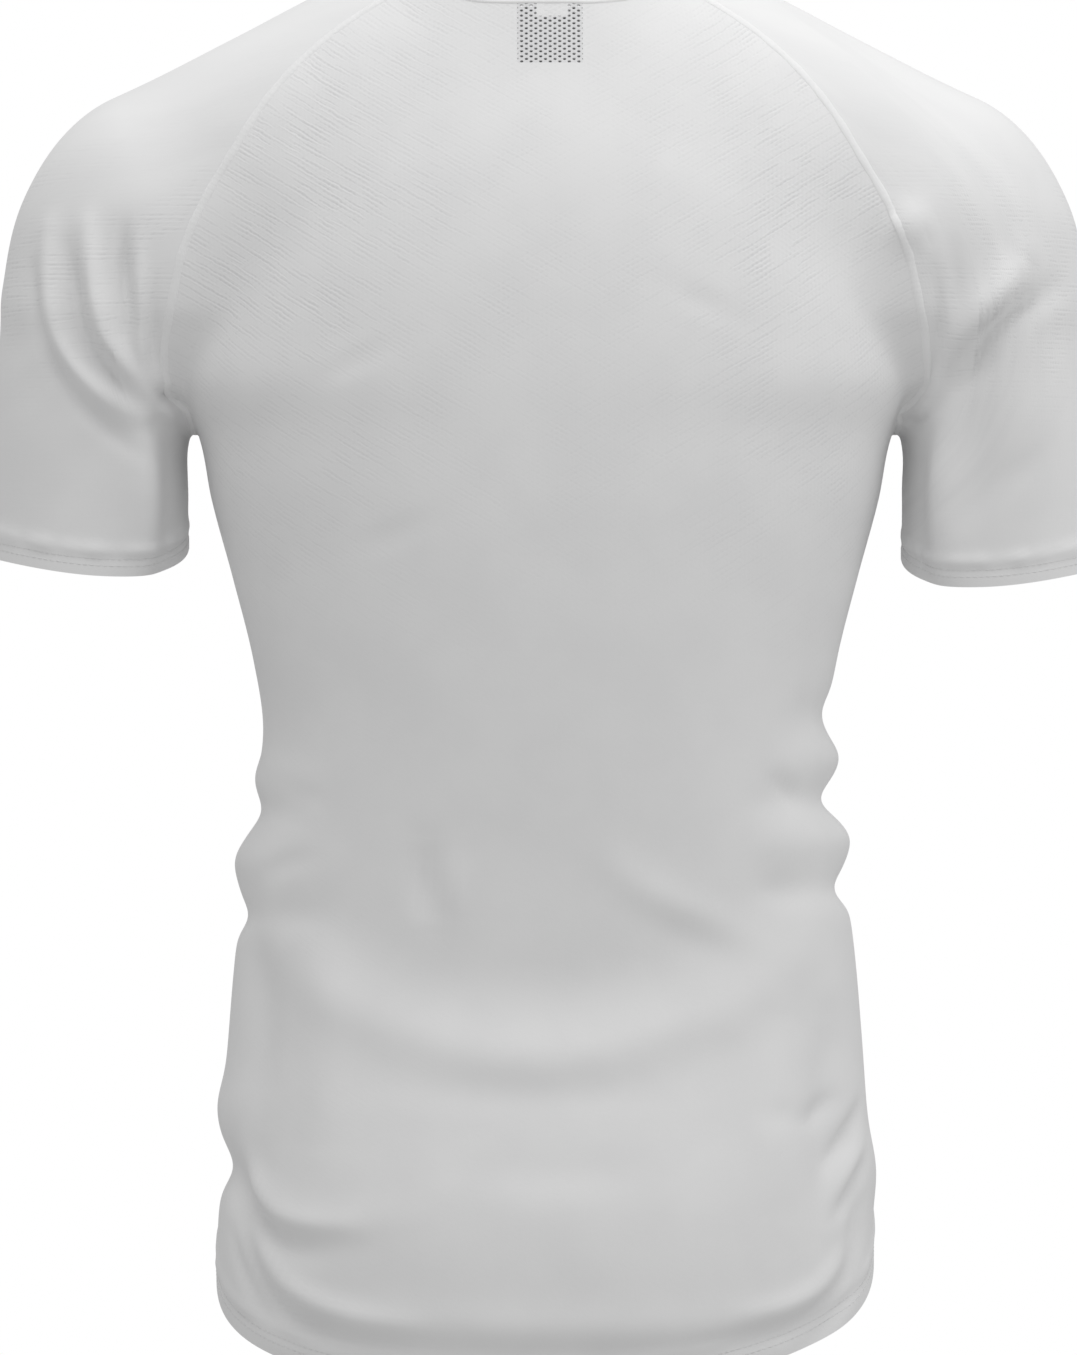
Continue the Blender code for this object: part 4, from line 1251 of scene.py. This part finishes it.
# %% [markdown]
# ## The collar and the label
#
# The collar is a low rib band that stands nearly upright on the neck seam.  It could be a curve
# with a bevel, but that turns its section where the seam bends.  Here a short upright line is
# carried round the seam, and its direction is eased, so that the band has no kink where the
# raglan seams end.  The label hangs from the neck seam inside the back, and shows through the
# eyelets in front of it.

# %% Collar
COLLAR_HEIGHT, COLLAR_LEAN, COLLAR_WALL = 16.0, 0.8, 2.0
COLLAR_EASE, COLLAR_ROWS = 16.0, 13
EDGE_SHARE, EDGE_ROLL = 0.35, 2.5      # the wall left at the upper edge, and how soon it grows


def eased_round(directions, loop):
    """Directions round a closed line, each averaged with those within COLLAR_EASE of it."""
    girth = np.linalg.norm(np.roll(loop, -1, axis=0) - loop, axis=1).sum()
    reach = round(COLLAR_EASE * len(loop) / girth)
    window = np.hanning(2 * reach + 3)[1:-1]
    turned = [np.roll(directions, step - reach, axis=0) * share for step, share in enumerate(window)]
    return unit(np.sum(turned, axis=0))


def collar_band(loop, finish):
    normals = eased_round(outward(loop, "body"), loop)
    ahead = np.roll(loop, -1, axis=0) - np.roll(loop, 1, axis=0)
    climb = eased_round(np.cross(normals, unit(ahead)), loop)
    climb *= np.sign(climb[:, 2])[:, None]
    rise = unit(climb + UP * COLLAR_LEAN)
    heights = np.linspace(SEAM_GAP / 2, COLLAR_HEIGHT, COLLAR_ROWS)
    outer = loop + rise * heights[:, None, None]
    around = np.roll(outer, -1, axis=1) - np.roll(outer, 1, axis=1)
    facing = unit(np.cross(rise[None], around))
    facing *= np.sign((facing * normals[None]).sum(axis=-1))[..., None]
    travel = travel_along(outer, 1)
    place = np.stack((travel, travel * 0 + heights[:, None]), axis=-1)
    rolled = np.minimum(1, EDGE_SHARE + np.abs(COLLAR_HEIGHT - heights) / EDGE_ROLL)
    middle = outer - facing * COLLAR_WALL / 2
    half = facing * COLLAR_WALL / 2 * rolled[:, None, None]
    return walled("collar_rib_band", middle + half, middle - half, place, True, finish)


collar_coarse = np.concatenate((back_neck[:-1], mirrored(side_neck)[:-1],
                                front_neck[::-1][:-1], side_neck[::-1][:-1]))
closed_loop = np.concatenate((collar_coarse, collar_coarse[:1]))
collar_loop = settle(spread(closed_loop, FINE_COLUMNS["panel"])[:-1], "body", rounds=3)
closed_loop = np.concatenate((collar_loop, collar_loop[:1]))
collar = collar_band(collar_loop, rib_finish("collar_rib_knit"))
girth = np.linalg.norm(np.diff(closed_loop, axis=0), axis=1).sum()
print("neck seam:", round(girth), "mm round")

# %% Label
TAPE_DEPTH, TAPE_THICKNESS = WALL + 0.8, 0.5
TAPE_COLUMNS, TAPE_ROWS = 30, 28


def hung_tape(name, finish):
    """A flat tape inside the back, a little behind its inner face."""
    half = LABEL_WIDTH / 2
    across = np.linspace(LABEL_CENTRE + half, LABEL_CENTRE - half, TAPE_COLUMNS)
    heights = np.linspace(LABEL_BOTTOM, LABEL_TOP, TAPE_ROWS)
    plain = np.array([[seen_from(1, x, height) for x in across] for height in heights])
    normals = outward(plain, "body")
    face = plain + normals * (fold_rise(plain) - TAPE_DEPTH)[..., None]
    return walled(name, face, face - normals * TAPE_THICKNESS, plain[..., ::2], False, finish)


label = hung_tape("neck_label_tape", tape_finish("label_woven_tape"))
print("label:", len(label.data.polygons), "faces")

# %% [markdown]
# ## Flat seams
#
# The pieces are joined by flat seams: the raw edges lie on each other under a band of covering
# thread.  From outside each is a low, smooth ridge, slightly knobbly where the loops of thread
# cross.  It is about 4 mm wide along the raglan seams, and narrower and lower at the sides, under
# the sleeves and round the neck.  Painted seams would vanish from the outline and in low light,
# so each is swept along the seam line that both pieces share.

# %% Seam bands
SEAM_WIDTH, SEAM_HEIGHT, SEAM_SINK, SEAM_FOOT = 4.4, 0.45, 0.4, 0.9
LOW_SEAM = (3.0, 0.2)                  # width and height
NECK_BAND = (2.6, 0.5)
STITCH_PITCH, PLACES_A_STITCH = 2.6, 4
LOOP_KNOB, SLOW_KNOB, SLOW_LENGTH = 0.03, 0.06, 17.0
SECTION_POINTS = 11
FOOT_SHARE = 0.9


def seam_band(name, line, finish, width=SEAM_WIDTH, height=SEAM_HEIGHT, part="body"):
    """A low ridge of thread along a line on the cloth."""
    spacing = STITCH_PITCH / PLACES_A_STITCH
    length = np.linalg.norm(np.diff(line, axis=0), axis=1).sum()
    shares = even_shares(int(length / spacing))
    centre = smooth_curve(line, shares)[:, None]
    out = outward(centre, part)
    travel = shares * length
    across = unit(np.cross(out, unit(np.gradient(centre, axis=0))))
    knob = 1 + LOOP_KNOB * np.cos(2 * math.pi * travel / STITCH_PITCH)
    knob = (knob + SLOW_KNOB * np.sin(2 * math.pi * travel / SLOW_LENGTH))[:, None, None]
    turn = np.linspace(0, math.pi, SECTION_POINTS)[None, :, None]
    side = np.cos(turn) * (width / 2 * knob)
    lift = np.sin(turn) * ((height + SEAM_SINK) * knob)
    outer = centre + across * side + out * (lift - SEAM_SINK)
    inner = centre + across * side * FOOT_SHARE - out * (SEAM_SINK + SEAM_FOOT)
    place = np.stack(np.broadcast_arrays(travel[:, None], side[..., 0]), axis=-1)
    return walled(name, outer, inner, place, False, finish)


thread = thread_finish("seam_thread")
split = SIDE_ROWS * FINE_ROWS["panel"]
seams = []
for name, edge in (("left", 0), ("right", -1)):
    for panel in ("back", "front"):
        line = panels[panel].outer[split:, edge]
        seams.append(seam_band(f"raglan_seam_{panel}_{name}", line, thread))
    line = panels["back"].outer[1:split + 1, edge]
    seams.append(seam_band(f"side_seam_{name}", line, thread, *LOW_SEAM))
    line = sleeves[name].outer[1:, edge]
    seams.append(seam_band(f"sleeve_seam_{name}", line, thread, *LOW_SEAM, "sleeve"))
seams.append(seam_band("neck_seam", closed_loop, thread, *NECK_BAND))
print("seam bands:", len(seams))

# %% [markdown]
# ## Twin-needle stitches
#
# Each hem and cuff is held by two rows of short stitches.  One stitch is a small rounded bar of
# thread that sinks into the cloth at its ends.  Instances of one bar would do for a render, but
# here a pair of rows is one joined mesh.

# %% Lines and bars of stitches
STITCH_LENGTH, STITCH_STEP, THREAD_RADIUS = 2.5, 3.1, 0.14
ROW_APART = 3.2
BAR_RINGS, BAR_SIDES = 7, 6
BAR_TAPER, BAR_LIFT = 0.8, 0.7


def line_at(outer, from_edge, distance, ring):
    """The line on a dressed grid that runs at one distance from its hem edge."""
    places = []
    for column in range(outer.shape[1]):
        travel = from_edge[:, column]
        places.append([np.interp(distance, travel, outer[:, column, axis]) for axis in range(3)])
    places = np.array(places)
    return np.concatenate((places, places[:1])) if ring else places


def bar_faces(start):
    """The faces of one stitch, whose rings of points begin at start."""
    faces = []
    for a in range(start, start + (BAR_RINGS - 1) * BAR_SIDES, BAR_SIDES):
        for j in range(BAR_SIDES):
            after = (j + 1) % BAR_SIDES
            faces.append((a + j, a + after, a + BAR_SIDES + after, a + BAR_SIDES + j))
    end = start + BAR_RINGS * BAR_SIDES
    faces.append(tuple(range(start, start + BAR_SIDES))[::-1])
    faces.append(tuple(range(end - BAR_SIDES, end)))
    return faces


# %% Rows of stitches
def stitch_rows(name, lines, part, finish):
    """Rows of stitches along lines, as one joined mesh."""
    t = np.linspace(-1, 1, BAR_RINGS)
    turn = np.linspace(0, 2 * math.pi, BAR_SIDES, endpoint=False)
    thick = THREAD_RADIUS * np.sqrt(1 - BAR_TAPER * t ** 2)
    verts, places, faces = [], [], []
    for line in lines:
        length = np.linalg.norm(np.diff(line, axis=0), axis=1).sum()
        count = int(length / STITCH_STEP)
        centres = smooth_curve(line, (np.arange(count) + 0.5) / count)
        along = unit(np.gradient(centres, axis=0))
        out = outward(centres, part)
        across = np.cross(out, along)
        for k in range(count):
            faces += bar_faces(len(verts))
            for ring_at, radius in zip(t, thick):
                middle = centres[k] + along[k] * ring_at * STITCH_LENGTH / 2 \
                    + out[k] * (THREAD_RADIUS * (BAR_LIFT - ring_at ** 2))
                for angle in turn:
                    spoke = across[k] * math.cos(angle) + out[k] * math.sin(angle)
                    verts.append(middle + spoke * radius)
                    places.append((k * STITCH_STEP + ring_at, angle))
    return cloth_piece(name, np.array(verts), faces, np.array(places), "POINT", finish)


stitches = []
for kind, part, pieces, title in (("panel", "body", panels, "{}_hem_stitches"),
                                  ("sleeve", "sleeve", sleeves, "cuff_{}_stitches")):
    for name, (piece, outer, from_edge) in pieces.items():
        lines = [line_at(outer, from_edge, HEM_DEPTH[kind] - offset, kind == "sleeve")
                 for offset in (0, ROW_APART)]
        stitches.append(stitch_rows(title.format(name), lines, part, thread))
print("stitch meshes:", len(stitches))

# %% [markdown]
# ## Bodies
#
# Everything here is one rigid body.  Each shell stands for its imported wall, which is hidden,
# and the seams and stitches are attached to the same body.

# %% Declarations
for name, (piece, outer, from_edge) in panels.items():
    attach(piece, "root")
    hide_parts(f"{name}_panel")
for name, (piece, outer, from_edge) in sleeves.items():
    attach(piece, "root")
    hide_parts(f"sleeve_{name}")
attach(collar, "root")
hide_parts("collar")
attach(label, "root")
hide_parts("neck_label")
for piece in seams + stitches:
    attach(piece, "root")
print("declared:", len(panels) + len(sleeves) + 2, "sheets,", len(seams + stitches), "trims")

# %% [markdown]
# ## Light, floor and camera
#
# The photograph is a bright product shot from behind: broad light from above and from the
# camera's side, a little more from the right, and a pure white background.  One big lamp would
# leave hard tones between folds.  A white sky gives the even fill, three wide soft lights give
# the direction, and the floor lies about 1.5 m below the neck.

# %% Lights
def soft_light(name, place, aim, power):
    """A wide square light at place, in metres, that faces aim."""
    lamp = bpy.data.lights.new(name, "AREA")
    lamp.size = LIGHT_SIZE
    lamp.energy = power
    holder = added(name, lamp)
    holder.location = place
    turn = np.array(aim) - np.array(place)
    level = math.hypot(turn[0], turn[1])
    holder.rotation_euler = (math.atan2(level, -turn[2]), 0, math.atan2(-turn[0], turn[1]))


CHEST = (0.0, 0.0, -0.30)
LIGHT_SIZE = 1.2
soft_light("overhead_light", (0.0, 0.3, 1.1), CHEST, 7.6)
soft_light("camera_side_light", (0.0, 1.4, 1.2), CHEST, 5.3)
soft_light("right_hand_light", (-1.6, 0.6, 0.5), CHEST, 5.6)

# %% Sky
FILL, BACKGROUND = 0.555, 1.0          # what lights the cloth, and what the camera sees
sky = bpy.data.worlds.new("studio_sky")
sky.use_nodes = True
sky.node_tree.nodes.clear()
maker = Value(sky.node_tree)
seen = maker.node("ShaderNodeLightPath", None, None, output=0)
white = maker.node("ShaderNodeBackground", None, {"Color": (1, 1, 1, 1), "Strength": BACKGROUND})
fill = maker.node("ShaderNodeBackground", None, {"Color": (1, 1, 1, 1), "Strength": FILL})
both = maker.node("ShaderNodeMixShader", None, {0: seen, 1: fill, 2: white})
maker.node("ShaderNodeOutputWorld", None, {"Surface": both})
bpy.context.scene.world = sky
print("sky:", FILL, "of light,", BACKGROUND, "behind the garment")

# %% Floor
FLOOR_HEIGHT, FLOOR_RADIUS, FLOOR_SIDES = -1.45, 1.6, 96
floor_mesh = bpy.data.meshes.new("floor")
rim = [(FLOOR_RADIUS * math.cos(t), FLOOR_RADIUS * math.sin(t), FLOOR_HEIGHT)
       for t in np.linspace(0, 2 * math.pi, FLOOR_SIDES, endpoint=False)]
floor_mesh.from_pydata(rim, [], [tuple(range(FLOOR_SIDES))])
floor = added("floor", floor_mesh)
floor_finish, maker = new_finish("pale_floor")
ground = maker.node("ShaderNodeNewGeometry", None, None, output=0)
speckle = slow_noise(maker, ground, 3.0)
close_finish(maker, speckle.shade((0.60, 0.60, 0.60), (0.65, 0.65, 0.65)), 0.7, speckle, 0.2 * MM)
floor_mesh.materials.append(floor_finish)
print("floor at", FLOOR_HEIGHT, "m")

# %% [markdown]
# The camera stands 3.5 m behind the garment, level with its middle, with a long lens.  Its focal
# length could be found by trial.  It is worked out instead, from the height that the photograph
# takes in at the plane of the shoulders.

# %% Camera
VIEW_HEIGHT, CAMERA_AWAY = 0.63685, 3.5
CAMERA_ACROSS, CAMERA_HEIGHT = 0.0031, -0.3443
SENSOR, FAR_CLIP = 36.0, 50
lens = bpy.data.cameras.new("camera")
lens.sensor_fit = "VERTICAL"
lens.sensor_height = SENSOR
lens.lens = SENSOR * CAMERA_AWAY / VIEW_HEIGHT
lens.clip_end = FAR_CLIP
camera = added("camera", lens)
camera.location = (CAMERA_ACROSS, CAMERA_AWAY, CAMERA_HEIGHT)
camera.rotation_euler = (math.radians(90), 0, math.radians(180))
bpy.context.scene.camera = camera
bpy.context.scene.view_settings.view_transform = "Standard"
print("lens:", round(lens.lens, 1), "mm")
